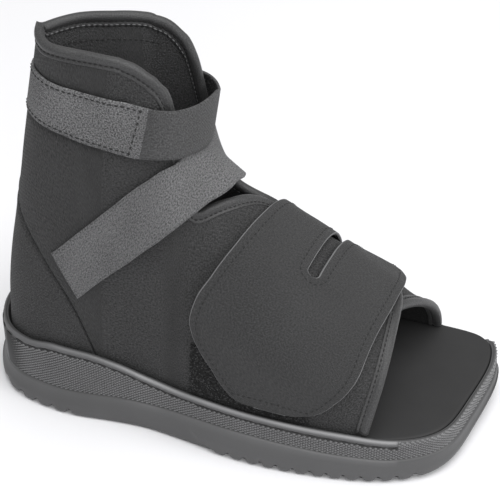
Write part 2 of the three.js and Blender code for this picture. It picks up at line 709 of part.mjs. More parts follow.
// Straps round the ankle: at each angle and height, out to the form and then off it by the lift
const STRAP_SEARCH = 160;
const STRAP_HALVINGS = 30;
function isInside(spot, z) {
  const station =
    spot.x >= ANKLE_X ? sideStation(spot.x, "outer") : heelStation(spot.clone().sub(ankle).angle());
  if (z >= station.crest) return false;
  const height = Math.max(0, (z - FORM_FOOT) / (station.crest - FORM_FOOT));
  const half = (1 - height ** station.round) ** (1 / station.round);
  return spot.distanceTo(station.middle) < half * station.start.distanceTo(station.middle);
}
function aroundAnkle(angle, z, lift) {
  const turn = THREE.MathUtils.degToRad(angle);
  const direction = new THREE.Vector2(Math.cos(turn), Math.sin(turn));
  let inside = 0;
  let outside = STRAP_SEARCH;
  for (let i = 0; i < STRAP_HALVINGS; i += 1) {
    const reach = (inside + outside) / 2;
    if (isInside(ankle.clone().addScaledVector(direction, reach), z)) inside = reach;
    else outside = reach;
  }
  const spot = ankle.clone().addScaledVector(direction, outside + lift);
  return new THREE.Vector3(spot.x, spot.y + lean(spot.x, z), z);
}
const STRAP_STEPS = 4;
const STRAP_ACROSS = 2;
function strapGrid(rows) {
  const numbered = rows.map((row, step) => ({ ...row, step }));
  const read = (value, step) => along(numbered, "step", value, step);
  return spread(rows.length - 1, 0, (rows.length - 1) * STRAP_STEPS).map((step) =>
    spread(0, 1, STRAP_ACROSS).map((across) =>
      aroundAnkle(
        THREE.MathUtils.lerp(read("lowAngle", step), read("highAngle", step), across),
        THREE.MathUtils.lerp(read("low", step), read("high", step), across),
        THREE.MathUtils.lerp(read("lowLift", step), read("highLift", step), across),
      ),
    ),
  );
}

// The boot
const boot = new THREE.Group();
boot.name = "cast_boot";
function addPiece(name, geometry, color, roughness) {
  const material = new THREE.MeshStandardMaterial({ color, roughness, metalness: 0 });
  const mesh = new THREE.Mesh(geometry, material);
  mesh.name = name;
  boot.add(mesh);
}
addPiece("sole", treadedSole(), COLOURS.rubber, 0.7);
addPiece("insole", insoleGeometry(), COLOURS.foam, 0.85);
addPiece("upper", clothGeometry(upperFrames), COLOURS.cloth, 0.95);
addPiece("heel_panel", clothGeometry(panelFrames), COLOURS.cloth, 0.95);
addPiece("collar_binding", bindingGeometry(collarPath), COLOURS.tape, 0.8);
addPiece("near_vamp_binding", bindingGeometry(vampPath("outer")), COLOURS.tape, 0.8);
addPiece("far_vamp_binding", bindingGeometry(vampPath("inner")), COLOURS.tape, 0.8);
addPiece("loop_patch", wallGeometry(patchGrid, PATCH_THICK, GAP), COLOURS.loop, 1);
const flapGeometry = wallGeometry(flapGrid, FLAP_THICK, FLAP_LIFT, { isOpen: inSlot });
addPiece("forefoot_flap", flapGeometry, COLOURS.flap, 0.9);
addPiece("ankle_strap", wallGeometry(strapGrid(ANKLE_STRAP), STRAP_THICK, 0), COLOURS.webbing, 0.9);
addPiece("instep_strap", wallGeometry(strapGrid(INSTEP_STRAP), STRAP_THICK, 0), COLOURS.webbing, 0.9);

// The origin on the floor, below the middle of the boot's box
const box = new THREE.Box3().setFromObject(boot);
const middle = box.getCenter(new THREE.Vector3());
for (const mesh of boot.children) mesh.geometry.translate(-middle.x, -middle.y, -box.min.z);

export default boot;
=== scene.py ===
# %% [markdown]
# A cast boot
#
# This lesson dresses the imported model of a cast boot: a thick rubber cup sole, a padded cloth upper that
# is open at the toe, a forefoot flap and two flat straps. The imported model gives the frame, in metres.
# Each piece below is built around it, so nothing has to be fitted by eye.

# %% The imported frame
import math

import bpy
import numpy as np
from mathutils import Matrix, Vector


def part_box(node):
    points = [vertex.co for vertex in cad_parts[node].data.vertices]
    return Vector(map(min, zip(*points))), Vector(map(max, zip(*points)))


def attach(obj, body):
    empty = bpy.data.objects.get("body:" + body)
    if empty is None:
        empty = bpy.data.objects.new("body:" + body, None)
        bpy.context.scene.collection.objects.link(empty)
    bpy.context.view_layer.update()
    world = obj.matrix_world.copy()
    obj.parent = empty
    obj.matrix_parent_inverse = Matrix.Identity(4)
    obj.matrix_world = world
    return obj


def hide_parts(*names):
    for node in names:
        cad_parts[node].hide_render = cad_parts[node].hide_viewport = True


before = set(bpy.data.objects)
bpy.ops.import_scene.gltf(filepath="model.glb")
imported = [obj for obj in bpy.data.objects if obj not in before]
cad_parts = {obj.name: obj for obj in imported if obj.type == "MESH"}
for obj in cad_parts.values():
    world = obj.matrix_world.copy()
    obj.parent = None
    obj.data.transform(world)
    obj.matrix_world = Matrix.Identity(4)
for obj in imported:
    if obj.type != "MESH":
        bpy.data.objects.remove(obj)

scene = bpy.context.scene
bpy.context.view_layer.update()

# %% [markdown]
# The camera
#
# A camera can be placed by eye, or worked out from a few numbers. Here the view is a turn round the boot,
# a rise above the floor, a distance and a focal length, so each can be changed without losing the others.

# %% Camera
VIEW_TURN = math.radians(17)
VIEW_RISE = math.radians(39)
VIEW_DISTANCE = 0.95
VIEW_TARGET = Vector((0.001, 0.01135, 0.1))
SENSOR_WIDTH = 36
FOCAL_SHARE = 3.2

camera_data = bpy.data.cameras.new("studio_camera")
camera_data.sensor_width = SENSOR_WIDTH
camera_data.lens = FOCAL_SHARE * SENSOR_WIDTH
camera = bpy.data.objects.new("studio_camera", camera_data)
scene.collection.objects.link(camera)
towards_camera = Vector(
    (
        math.sin(VIEW_TURN) * math.cos(VIEW_RISE),
        -math.cos(VIEW_TURN) * math.cos(VIEW_RISE),
        math.sin(VIEW_RISE),
    )
)
camera.location = VIEW_TARGET + towards_camera * VIEW_DISTANCE
camera.rotation_euler = (-towards_camera).to_track_quat("-Z", "Y").to_euler()
scene.camera = camera
print("camera at", tuple(round(c, 3) for c in camera.location))

# %% [markdown]
# Nodes in a few words
#
# Materials, the floor, the studio light and the Geometry Nodes trees are all networks of nodes. One small
# helper adds a node, sets its options and fills its sockets with a number or with a link from another node.


# %% A helper for nodes
def add_node(tree, kind, inputs=None, **options):
    made = tree.nodes.new(kind)
    for option, value in options.items():
        setattr(made, option, value)
    for socket, value in (inputs or {}).items():
        if isinstance(value, bpy.types.NodeSocket):
            tree.links.new(value, made.inputs[socket])
        else:
            made.inputs[socket].default_value = value
    return made


def calculate(tree, operation, first, second=0.0):
    return add_node(tree, "ShaderNodeMath", {0: first, 1: second}, operation=operation).outputs[0]


def mix_colours(tree, factor, dark, light):
    mixed = add_node(tree, "ShaderNodeMix", {0: factor, 6: dark, 7: light}, data_type="RGBA")
    return mixed.outputs[2]


def scale_vector(tree, vector, scale):
    return add_node(tree, "ShaderNodeVectorMath", {0: vector, "Scale": scale}, operation="SCALE").outputs[0]


def stretch(tree, value, low, high):
    """Stretches a range of values so that it runs from 0 to 1."""
    return add_node(tree, "ShaderNodeMapRange", {0: value, 1: low, 2: high}).outputs[0]


COOL_TINT = 1.02


def grey(value):
    return (value, value, value * COOL_TINT, 1.0)


# %% [markdown]
# Studio and floor
#
# The boot stands on a plain white floor in even light. A white world fills the shadows, one large lamp
# overhead gives the soft shading on the cloth, and two weaker ones from the front and the right draw the
# bead and the tapes. The colours are shown as they are, without a film curve, so that white stays white.

# %% Studio
FLOOR_SIZE = 6.0
FLOOR_WHITE = 0.87
FLOOR_ROUGH = 0.9
WORLD_STRENGTH = 0.46
LAMPS = [
    {"name": "overhead_lamp", "place": (0.3, -0.2, 2.0), "size": 1.5, "power": 30},
    {"name": "front_lamp", "place": (0.6, -1.6, 1.3), "size": 0.9, "power": 8},
    {"name": "side_lamp", "place": (1.5, -0.2, 1.0), "size": 0.7, "power": 9},
]
scene.view_settings.view_transform = "Standard"
world = bpy.data.worlds.new("studio")
world.use_nodes = True
world.node_tree.nodes["Background"].inputs["Strength"].default_value = WORLD_STRENGTH
world.node_tree.nodes["Background"].inputs["Color"].default_value = (1, 1, 1, 1)
scene.world = world
for row in LAMPS:
    lamp_data = bpy.data.lights.new(row["name"], "AREA")
    lamp_data.size = row["size"]
    lamp_data.energy = row["power"]
    lamp = bpy.data.objects.new(row["name"], lamp_data)
    lamp.location = row["place"]
    lamp.rotation_euler = (VIEW_TARGET - lamp.location).to_track_quat("-Z", "Y").to_euler()
    scene.collection.objects.link(lamp)

floor_mesh = bpy.data.meshes.new("studio_floor")
half = FLOOR_SIZE / 2
floor_mesh.from_pydata(
    [(-half, -half, 0), (half, -half, 0), (half, half, 0), (-half, half, 0)], [], [(0, 1, 2, 3)]
)
floor_paint = bpy.data.materials.new("floor_paint")
floor_paint.use_nodes = True
floor_shader = floor_paint.node_tree.nodes["Principled BSDF"]
floor_shader.inputs["Base Color"].default_value = grey(FLOOR_WHITE)
floor_shader.inputs["Roughness"].default_value = FLOOR_ROUGH
floor_mesh.materials.append(floor_paint)
floor = bpy.data.objects.new("studio_floor", floor_mesh)
scene.collection.objects.link(floor)
print("studio:", len(LAMPS), "lamps and a floor of", FLOOR_SIZE, "m")

# %% [markdown]
# The plan of the boot
#
# The boot was measured in millimetres, so the tables stay in millimetres and the meshes are written in
# metres. The sole's outline is a closed curve through seventeen points. Heights along the foot are short
# tables, read by a curve that never overshoots its points.

# %% Tables of the plan
MM = 0.001
INSOLE_TOP = 30.0
INSOLE_THICK = 5.0
RIM_WALL = 4.6
FIT_GAP = 0.35
OUTLINE = np.array(
    [
        (-154, -8), (-141, -40), (-106, -53), (-50, -54), (20, -63), (75, -60), (112, -50), (134, -32),
        (144, 0), (150, 36), (143, 57), (118, 64), (50, 63), (-20, 52), (-70, 42), (-110, 38),
        (-141, 23),
    ],
    float,
)
RIM_HEIGHT = [
    (-154, 46), (-147, 46.8), (-140, 47.4), (-124, 47.6), (-105, 51), (-85, 50.2), (-65, 46.4),
    (-45, 41.5), (-20, 38.7), (20, 38.2), (75, 34.9), (108, 30.9), (150, 29.5),
]
UNDERSIDE_HEIGHT = [
    (-154, 7), (-140, 1.6), (-118, 0), (40, 0), (90, 0.3), (110, 1), (125, 2.4), (140, 6), (150, 10.5),
]


# %% Reading a table
def smooth_table(rows):
    """Reads a table of (position, value) rows along a curve that doesn't overshoot them."""
    keys, values = np.array(rows, float).T
    slopes = np.diff(values) / np.diff(keys)
    before, after = slopes[:-1], slopes[1:]
    same_way = before * after > 0
    tangents = np.concatenate([slopes[:1], np.zeros(len(slopes) - 1), slopes[-1:]])
    tangents[1:-1][same_way] = (2 * before * after)[same_way] / (before + after)[same_way]

    def read(at):
        at = np.clip(at, keys[0], keys[-1])
        i = np.clip(np.searchsorted(keys, at) - 1, 0, len(keys) - 2)
        span = keys[i + 1] - keys[i]
        t = (at - keys[i]) / span
        rise = t * t * (3 - 2 * t)
        bend = span * t * (1 - t) * (tangents[i] * (1 - t) - tangents[i + 1] * t)
        return values[i] * (1 - rise) + values[i + 1] * rise + bend

    return read


def eased(start, end, at):
    t = np.clip((at - start) / (end - start), 0, 1)
    return t * t * (3 - 2 * t)


def blend(first, second, share):
    return first + (second - first) * share


def unit(vectors):
    return vectors / np.linalg.norm(vectors, axis=-1, keepdims=True)


def summed(steps):
    """The running sum of a row of steps, from 0."""
    return np.concatenate([[0], np.cumsum(steps)])


rim_at = smooth_table(RIM_HEIGHT)
underside_at = smooth_table(UNDERSIDE_HEIGHT)
print("rim height at the ball of the foot:", round(float(rim_at(20)), 1), "mm")

# %% The outline as two sides
OUTLINE_SAMPLES = 24


def closed_curve(points, samples):
    """Places and directions on a closed smooth curve through the points."""
    t = (np.arange(samples) / samples)[None, :, None]
    p0, p1, p2, p3 = (np.roll(points, turn, 0)[:, None] for turn in (1, 0, -1, -2))
    second = 2 * p0 - 5 * p1 + 4 * p2 - p3
    third = 3 * p1 - p0 - 3 * p2 + p3
    place = 0.5 * (2 * p1 + (p2 - p0) * t + second * t**2 + third * t**3)
    run = 0.5 * ((p2 - p0) + 2 * second * t + 3 * third * t**2)
    return place.reshape(-1, 2), unit(run.reshape(-1, 2))


curve_place, curve_run = closed_curve(OUTLINE, OUTLINE_SAMPLES)
curve_inward = np.stack([-curve_run[:, 1], curve_run[:, 0]], 1)
heel_first = -int(np.argmin(curve_place[:, 0]))
outline_ring = np.roll(np.hstack([curve_place, curve_inward]), heel_first, 0)
tip = int(np.argmax(outline_ring[:, 0]))
OUTER_SIDE = outline_ring[: tip + 1]
INNER_SIDE = np.vstack([outline_ring[tip:], outline_ring[:1]])[::-1]
OUTER_SIDE = OUTER_SIDE[np.argsort(OUTER_SIDE[:, 0])]
INNER_SIDE = INNER_SIDE[np.argsort(INNER_SIDE[:, 0])]

sole_low, _ = (np.array(corner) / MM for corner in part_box("sole"))
outline_low = outline_ring[:, :2].min(0)
SHIFT = np.array([sole_low[0] - outline_low[0], sole_low[1] - outline_low[1], 0.0])
print("the frame lies", np.round(SHIFT, 2), "mm from the tables")


def outline_at(x, outer):
    """Place y of the outline at x, with its inward direction, on the outer or the inner side."""
    return [
        np.where(
            outer,
            np.interp(x, OUTER_SIDE[:, 0], OUTER_SIDE[:, k]),
            np.interp(x, INNER_SIDE[:, 0], INNER_SIDE[:, k]),
        )
        for k in (1, 2, 3)
    ]


# %% [markdown]
# The form of the boot
#
# Cloth that closes over a foot can be sculpted, or given by a rule. Here the rule is one rounded section
# at each place along the foot, from the insole up over the crest. A point on it is named by its way round
# the boot and by its share of the section, so edges, seams and stitches are all lines in these two numbers.

# %% Tables of the form
ANKLE_X = -60.0
FORM_INSET = RIM_WALL + 0.7
FORM_FOOT = INSOLE_TOP + 0.4
SHAFT_HEIGHT = 210.0
SHAFT_LEAN = 6.0
SHAFT_TWIST = 0.18
HEEL_ARC = 100.0
ROUND_BACK = 1.2
ROUND_ANKLE = 1.8
ROUND_VAMP = 2.25
ROUND_CHANGE = (-30, 40)
crest_at = smooth_table(
    [
        (-60, 308), (-44, 297), (-38, 277), (-32.5, 243), (-27.5, 202), (-20.5, 172), (-14, 161),
        (-6, 152), (10, 140), (28, 129), (50, 114), (75, 95), (100, 78), (130, 64),
    ]
)
heel_crest_at = smooth_table([(90, 308), (135, 354), (160, 407), (180, 460)])


def lean(x, z):
    rise = np.maximum(0, (z - FORM_FOOT) / SHAFT_HEIGHT)
    return rise * (SHAFT_LEAN + SHAFT_TWIST * np.minimum(0, x - ANKLE_X))


def form_side(x, outer):
    y, _, inward_y = outline_at(x, outer)
    return y + inward_y * FORM_INSET


ANKLE_Y = float(form_side(ANKLE_X, True) + form_side(ANKLE_X, False)) / 2
heel_reach = outline_ring[:, :2] + outline_ring[:, 2:] * FORM_INSET - (ANKLE_X, ANKLE_Y)
heel_angles = np.arctan2(heel_reach[:, 1], heel_reach[:, 0]) % (2 * np.pi)
heel_order = np.argsort(heel_angles)
HEEL_ANGLES = heel_angles[heel_order]
HEEL_RADII = np.linalg.norm(heel_reach, axis=1)[heel_order]
print("middle of the ankle:", ANKLE_X, round(ANKLE_Y, 1), "mm")


# %% Sections and points of the form
def foot_section(x, outer):
    """Start, middle, crest and roundness of the section at x, as seen from one side."""
    start = form_side(x, outer)
    middle = (start + form_side(x, np.logical_not(outer))) / 2
    roundness = blend(ROUND_ANKLE, ROUND_VAMP, eased(*ROUND_CHANGE, x))
    return x, start, x, middle, crest_at(x), roundness


def heel_section(angle):
    reach = np.interp(angle, HEEL_ANGLES, HEEL_RADII)
    across, back = np.cos(angle), np.abs(np.cos(angle))
    crest = heel_crest_at(np.degrees(np.arccos(np.clip(across, -1, 1))))
    roundness = blend(ROUND_ANKLE, ROUND_BACK, eased(0, 1, back))
    return ANKLE_X + reach * across, ANKLE_Y + reach * np.sin(angle), ANKLE_X, ANKLE_Y, crest, roundness


def point_on(section, share):
    start_x, start_y, middle_x, middle_y, crest, roundness = section
    turn = np.asarray(share) * np.pi / 2
    power = 2 / roundness
    out = np.sign(np.cos(turn)) * np.abs(np.cos(turn)) ** power
    z = FORM_FOOT + (crest - FORM_FOOT) * np.abs(np.sin(turn)) ** power
    x = middle_x + (start_x - middle_x) * out
    y = middle_y + (start_y - middle_y) * out
    return np.stack(np.broadcast_arrays(x, y + lean(x, z), z), -1)


def share_at(section, z):
    crest, roundness = section[4:]
    height = np.clip((z - FORM_FOOT) / (crest - FORM_FOOT), 0, 1)
    return 2 / np.pi * np.arcsin(height ** (roundness / 2))


# %% The way round the boot
FRONT_SHAPED_FROM = 40.0
OUTER_FRONT = {"x": 88.5, "slant": 4.5, "bend": 1, "bow": 3.5, "corner": 0.26}
INNER_FRONT = {"x": 109.5, "slant": -18.5, "bend": 2, "bow": 0.0, "corner": 0.0}
UNDERLAP = {"sink": 3.7, "from": 14, "full": 30, "fade": 50, "end": 80}
FAR_VAMP = {"from": 60, "full": 102, "pull": 5.5, "sink": 2.2, "sink_from": 78}


def front_value(outer, key):
    return np.where(outer, OUTER_FRONT[key], INNER_FRONT[key])


def foot_x(way):
    return ANKLE_X + np.abs(way) - HEEL_ARC


def way_at(x, outer):
    return (-1 if outer else 1) * (HEEL_ARC + np.asarray(x) - ANKLE_X)


def underlap_at(x):
    """Under the flap the far vamp lies a little deeper than the near one."""
    here = eased(UNDERLAP["from"], UNDERLAP["full"], x) * (1 - eased(UNDERLAP["fade"], UNDERLAP["end"], x))
    return UNDERLAP["sink"] * here + FAR_VAMP["sink"] * eased(FAR_VAMP["sink_from"], FAR_VAMP["full"], x)


def section_at(way, share):
    """The section at a way round the boot: negative on the outer side, 0 at the heel's back."""
    outer = way < 0
    x = foot_x(way)
    weight = eased(FRONT_SHAPED_FROM, front_value(outer, "x"), x)
    bow = front_value(outer, "bow") * np.sin(np.pi * np.minimum(share, 1))
    vamp_x = x + weight * (front_value(outer, "slant") * share ** front_value(outer, "bend") + bow)
    foot = list(foot_section(vamp_x, outer))
    foot[4] = foot[4] - np.where(outer, 0, underlap_at(x))
    heel = heel_section(np.pi - way / HEEL_ARC * np.pi / 2)
    on_heel = np.abs(way) <= HEEL_ARC
    return [np.where(on_heel, h, f) for h, f in zip(heel, foot)]


def on_form(way, share):
    way, share = np.broadcast_arrays(np.asarray(way, float), np.asarray(share, float))
    points = point_on(section_at(way, share), share)
    pulled = eased(FAR_VAMP["from"], FAR_VAMP["full"], foot_x(way)) * np.sin(np.pi * np.minimum(share, 1))
    points[..., 1] -= np.where(way < 0, 0, FAR_VAMP["pull"] * pulled)
    return points


# %% Tangents and normals of the form
WAY_STEP = 0.5
SHARE_STEP = 0.004


def form_tangents(way, share):
    around = (on_form(way + WAY_STEP, share) - on_form(way - WAY_STEP, share)) / (2 * WAY_STEP)
    below = np.maximum(share - SHARE_STEP, 0)
    upward = (on_form(way, below + 2 * SHARE_STEP) - on_form(way, below)) / (2 * SHARE_STEP)
    return around, upward


def form_normal(way, share):
    around, upward = form_tangents(way, share)
    return unit(np.cross(upward, around))


SLIDE_STEPS = 4


def slide(way, share, direction, distance):
    """The way and share of points moved by a distance over the surface, in short steps along a direction."""
    for _ in range(SLIDE_STEPS):
        around, upward = form_tangents(way, share)
        aa, au, uu = ((p * q).sum(-1) for p, q in ((around, around), (around, upward), (upward, upward)))
        along_a, along_u = (around * direction).sum(-1), (upward * direction).sum(-1)
        area = aa * uu - au * au
        more_way = (along_a * uu - along_u * au) / area
        more_share = (along_u * aa - along_a * au) / area
        moved = around * more_way[..., None] + upward * more_share[..., None]
        step = distance / SLIDE_STEPS / np.linalg.norm(moved, axis=-1)
        way, share = way + more_way * step, share + more_share * step
    return way, share


# %% Edges of the cloth
collar_at = smooth_table(
    [
        (-100, 242.4), (-80, 243.6), (-60, 244), (-40, 244.4), (-20, 244.3), (0, 244.8), (20, 245.4),
        (40, 245.8), (60, 245.3), (80, 243.6), (90, 242.5), (100, 241.6),
    ]
)
INNER_REACH = 0.79
INNER_TUCK = {"share": 0.21, "from": 26, "full": 46}
CORNER_LENGTH = 10.0
outer_edge_at = smooth_table(
    [
        (-60, 242.4), (-56, 241.3), (-53, 240), (-50, 238), (-47, 235.4), (-44, 232.8), (-42, 231.2),
        (-40, 229.8), (-38, 228), (-36, 225), (-34.5, 221), (-33.2, 213), (-32.2, 205), (-31, 195),
        (-29.5, 183), (-28, 172.5), (-26.3, 163), (-24.5, 156.5), (-22.5, 152.3), (-20, 150.3),
    ]
)
inner_edge_at = smooth_table(
    [
        (-60, 241.6), (-56, 240.8), (-53, 239.9), (-50, 237.9), (-47, 233.9), (-44, 228.2),
        (-42, 224.6), (-40, 222), (-38, 219.6), (-36, 214.5), (-34.6, 205), (-33.4, 194), (-32.6, 184),
        (-26, 157), (-16, 142), (-5, 136), (6, 132),
    ]
)
outer_reach_at = smooth_table(
    [
        (-30, 0.5), (-26, 0.56), (-22, 0.625), (-18, 0.695), (-14, 0.76), (-10, 0.83), (-6, 0.902),
        (-3, 0.968), (0, 1.035), (4, 1.11), (9, 1.15), (16, 1.165), (30, 1.2),
    ]
)
THROAT_END = {"outer": -25.0, "inner": 6.0}
THROAT_RUNOUT = {"outer": 5.0, "inner": 15.0}
heel_seam_at = smooth_table(
    [(108, 30.4), (114.4, 48.6), (130, 85.6), (140, 101.5), (152.7, 122), (160, 131), (180, 143)]
)


# %% The top edge before it is smoothed
def raw_top_share(way):
    """Where the cloth ends at the top: collar, front edge of the shaft, throat and vamp."""
    outer = way < 0
    x = foot_x(way)
    section = section_at(way, 0.0)
    collar = share_at(section, collar_at(way))
    throat = share_at(section, np.where(outer, outer_edge_at(x), inner_edge_at(x)))
    end = np.where(outer, THROAT_END["outer"], THROAT_END["inner"])
    under = INNER_REACH + INNER_TUCK["share"] * eased(INNER_TUCK["from"], INNER_TUCK["full"], x)
    reach = np.where(outer, outer_reach_at(x), under)
    runout = np.where(outer, THROAT_RUNOUT["outer"], THROAT_RUNOUT["inner"])
    top = blend(throat, reach, eased(end, end + runout, x))
    corner = np.clip((x - front_value(outer, "x") + CORNER_LENGTH) / CORNER_LENGTH, 0, 1)
    top = top - front_value(outer, "corner") * (1 - np.sqrt(1 - corner**2))
    return np.where(np.abs(way) <= HEEL_ARC, collar, top)


# %% The smoothed top edge and the heel seam
EDGE_SMOOTH = {"scale": 180.0, "step": 0.5, "width": 4.0, "reach": 3, "samples": 3000}
OUTER_NUDGE = -1e-6


def smoothed_edge(outer):
    """The top edge of one side, with its corners rounded by averaging along its length."""
    front = (OUTER_FRONT if outer else INNER_FRONT)["x"]
    ways = np.linspace(0, float(np.abs(way_at(front, outer))), EDGE_SMOOTH["samples"])
    raw = raw_top_share(OUTER_NUDGE - ways if outer else ways)
    length = summed(np.hypot(np.diff(ways), np.diff(raw) * EDGE_SMOOTH["scale"]))
    even = np.arange(0, length[-1], EDGE_SMOOTH["step"])
    reach = int(EDGE_SMOOTH["reach"] * EDGE_SMOOTH["width"] / EDGE_SMOOTH["step"])
    offsets = np.arange(-reach, reach + 1) * EDGE_SMOOTH["step"] / EDGE_SMOOTH["width"]
    kernel = np.exp(-0.5 * offsets**2)
    lines = []
    for values in (ways, raw):
        line = np.pad(np.interp(even, length, values), reach, mode="reflect", reflect_type="odd")
        lines.append(np.convolve(line, kernel / kernel.sum(), mode="valid"))
    smooth = np.interp(ways, *lines)
    kept = eased(front - 2 * CORNER_LENGTH, front - CORNER_LENGTH, foot_x(ways))
    return ways, blend(smooth, raw, kept)


OUTER_TOP, INNER_TOP = smoothed_edge(True), smoothed_edge(False)


def top_share(way):
    return np.where(way < 0, np.interp(np.abs(way), *OUTER_TOP), np.interp(np.abs(way), *INNER_TOP))


def seam_share(way, drop=0.0):
    angle = 90 + 90 * (1 - np.abs(way) / HEEL_ARC)
    z = np.maximum(FORM_FOOT, heel_seam_at(angle) - drop)
    seam = share_at(section_at(way, 0.0), z)
    return np.where(np.abs(way) <= HEEL_ARC, seam, 0.0)


print("collar at the back:", np.round(on_form(0.0, float(top_share(np.array(0.0)))), 1), "mm")

# %% [markdown]
# Meshes from rows of points
#
# Most pieces here are grids of points. A wall is two grids, an outer and an inner one, closed round its
# edge by a narrow rounded strip, so cloth never shows a knife-sharp border. Its UV map counts in metres
# along the cloth, which lets a weave keep its true size on every piece.


# %% Helpers for meshes
def add_piece(name, points, faces, materials, uv=None, face_material=None, **attributes):
    mesh = bpy.data.meshes.new(name)
    mesh.from_pydata(((points + SHIFT) * MM).tolist(), [], [list(map(int, face)) for face in faces])
    for material in materials:
        mesh.materials.append(material)
    if uv is not None:
        corners = np.empty(len(mesh.loops), np.int32)
        mesh.loops.foreach_get("vertex_index", corners)
        layer = mesh.uv_layers.new(name="cloth")
        layer.data.foreach_set("uv", (uv[corners] * MM).astype(np.float32).ravel())
    for attribute, values in attributes.items():
        made = mesh.attributes.new(attribute, "FLOAT", "POINT")
        made.data.foreach_set("value", np.asarray(values, np.float32))
    if face_material is not None:
        mesh.polygons.foreach_set("material_index", np.asarray(face_material, np.int32))
    mesh.polygons.foreach_set("use_smooth", np.ones(len(mesh.polygons), bool))
    mesh.update()
    piece = bpy.data.objects.new(name, mesh)
    scene.collection.objects.link(piece)
    print(name, "has", len(mesh.vertices), "points and", len(mesh.polygons), "faces")
    return piece


# %% Grids and walls
def grid_normals(grid):
    return unit(np.cross(np.gradient(grid, axis=1), np.gradient(grid, axis=0)))


def grid_lengths(grid):
    """Distance along the columns and up the rows of a grid, for its UV map."""
    along = np.linalg.norm(np.diff(grid, axis=0), axis=-1).mean(1)
    up = np.linalg.norm(np.diff(grid, axis=1), axis=-1)
    u = summed(along)
    v = np.concatenate([np.zeros((len(grid), 1)), np.cumsum(up, 1)], 1)
    return np.stack([np.broadcast_to(u[:, None], v.shape), v], -1)


def wall(outer, inner, bulge, is_open=None):
    """Points and faces of a closed wall. Seen from outside, columns run to the left and rows run up."""
    columns, rows = outer.shape[:2]
    count = columns * rows
    index = np.arange(count).reshape(columns, rows)
    cells = np.stack([index[:-1, :-1], index[:-1, 1:], index[1:, 1:], index[1:, :-1]], -1)
    kept = cells.reshape(-1, 4) if is_open is None else cells[~is_open]
    edges = np.concatenate([kept[:, [k, (k + 1) % 4]] for k in range(4)])
    rim = edges[~np.isin(edges[:, 0] * count + edges[:, 1], edges[:, 1] * count + edges[:, 0])]
    rim_points = np.unique(rim)
    flat_outer, flat_inner = outer.reshape(-1, 3), inner.reshape(-1, 3)
    centre_sum, touching = np.zeros((count, 3)), np.zeros((count, 1))
    for k in range(4):
        np.add.at(centre_sum, kept[:, k], flat_outer[kept].mean(1))
        np.add.at(touching, kept[:, k], 1)
    away = unit(flat_outer[rim_points] - centre_sum[rim_points] / touching[rim_points])
    middle = (flat_outer[rim_points] + flat_inner[rim_points]) / 2 + away * bulge
    on_rim = np.zeros(count, int)
    on_rim[rim_points] = 2 * count + np.arange(len(rim_points))
    start, end = rim.T
    strips = [
        np.stack([end, start, on_rim[start], on_rim[end]], 1),
        np.stack([on_rim[end], on_rim[start], start + count, end + count], 1),
    ]
    points = np.concatenate([flat_outer, flat_inner, middle])
    faces = np.concatenate([kept, kept[:, ::-1] + count, *strips])
    source = np.concatenate([np.arange(count), np.arange(count), rim_points])
    is_edge = np.arange(len(faces)) >= 2 * len(kept)
    return points, faces, source, is_edge


def finish_piece(piece, slot, *nodes):
    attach(piece, "root")
    if nodes:
        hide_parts(*nodes)


# %% [markdown]
# Shared finishes
#
# Rubber, cloth and tape all have some unevenness in their colour, and all the cloths have a weave. Each of
# these effects is one node group with named inputs, and every material places it with its own values.
# The weave counts threads over and under along the piece's own UV map.


# %% A group for mottling
def shader_group(name, values, outputs):
    """A group that takes a place as Vector and named values. Returns it with its inputs and outputs."""
    group = bpy.data.node_groups.new(name, "ShaderNodeTree")
    group.interface.new_socket("Vector", in_out="INPUT", socket_type="NodeSocketVector")
    for socket, value in values.items():
        made = group.interface.new_socket(socket, in_out="INPUT", socket_type="NodeSocketFloat")
        made.default_value = value
    for socket in outputs:
        group.interface.new_socket(socket, in_out="OUTPUT", socket_type="NodeSocketFloat")
    return group, group.nodes.new("NodeGroupInput").outputs, group.nodes.new("NodeGroupOutput").inputs


def noise(tree, place, scale, detail):
    values = {"Vector": place, "Scale": scale, "Detail": detail}
    return add_node(tree, "ShaderNodeTexNoise", values).outputs[0]


def mottling_group():
    """Broad cloudy variation and fine specks, both around 0.5."""
    sizes = {"Cloud Size": 0.03, "Speck Size": 0.0008}
    group, given, result = shader_group("Mottling", sizes, ["Clouds", "Specks"])
    for size, detail, output in (("Cloud Size", 3.0, "Clouds"), ("Speck Size", 1.0, "Specks")):
        scale = calculate(group, "DIVIDE", 1.0, given[size])
        group.links.new(noise(group, given["Vector"], scale, detail), result[output])
    return group


# %% Weave and pile
def weave_group():
    """Plain weave: rounded threads that pass over and under each other."""
    group, given, result = shader_group("Weave", {"Pitch": 0.0008}, ["Height"])
    scale = calculate(group, "DIVIDE", 1.0, given["Pitch"])
    counted = scale_vector(group, given["Vector"], scale)
    place = add_node(group, "ShaderNodeSeparateXYZ", {0: counted}).outputs
    threads, cells = [], []
    for k in (0, 1):
        wave = calculate(group, "SINE", calculate(group, "MULTIPLY", place[k], math.pi))
        threads.append(calculate(group, "ABSOLUTE", wave))
        cells.append(calculate(group, "FLOOR", place[k]))
    over = calculate(group, "FLOORED_MODULO", calculate(group, "ADD", *cells), 2.0)
    under = calculate(group, "SUBTRACT", 1.0, over)
    warp = calculate(group, "MULTIPLY", threads[0], over)
    weft = calculate(group, "MULTIPLY", threads[1], under)
    group.links.new(calculate(group, "ADD", warp, weft), result["Height"])
    return group


GLINT_RANGE = (0.22, 0.5)


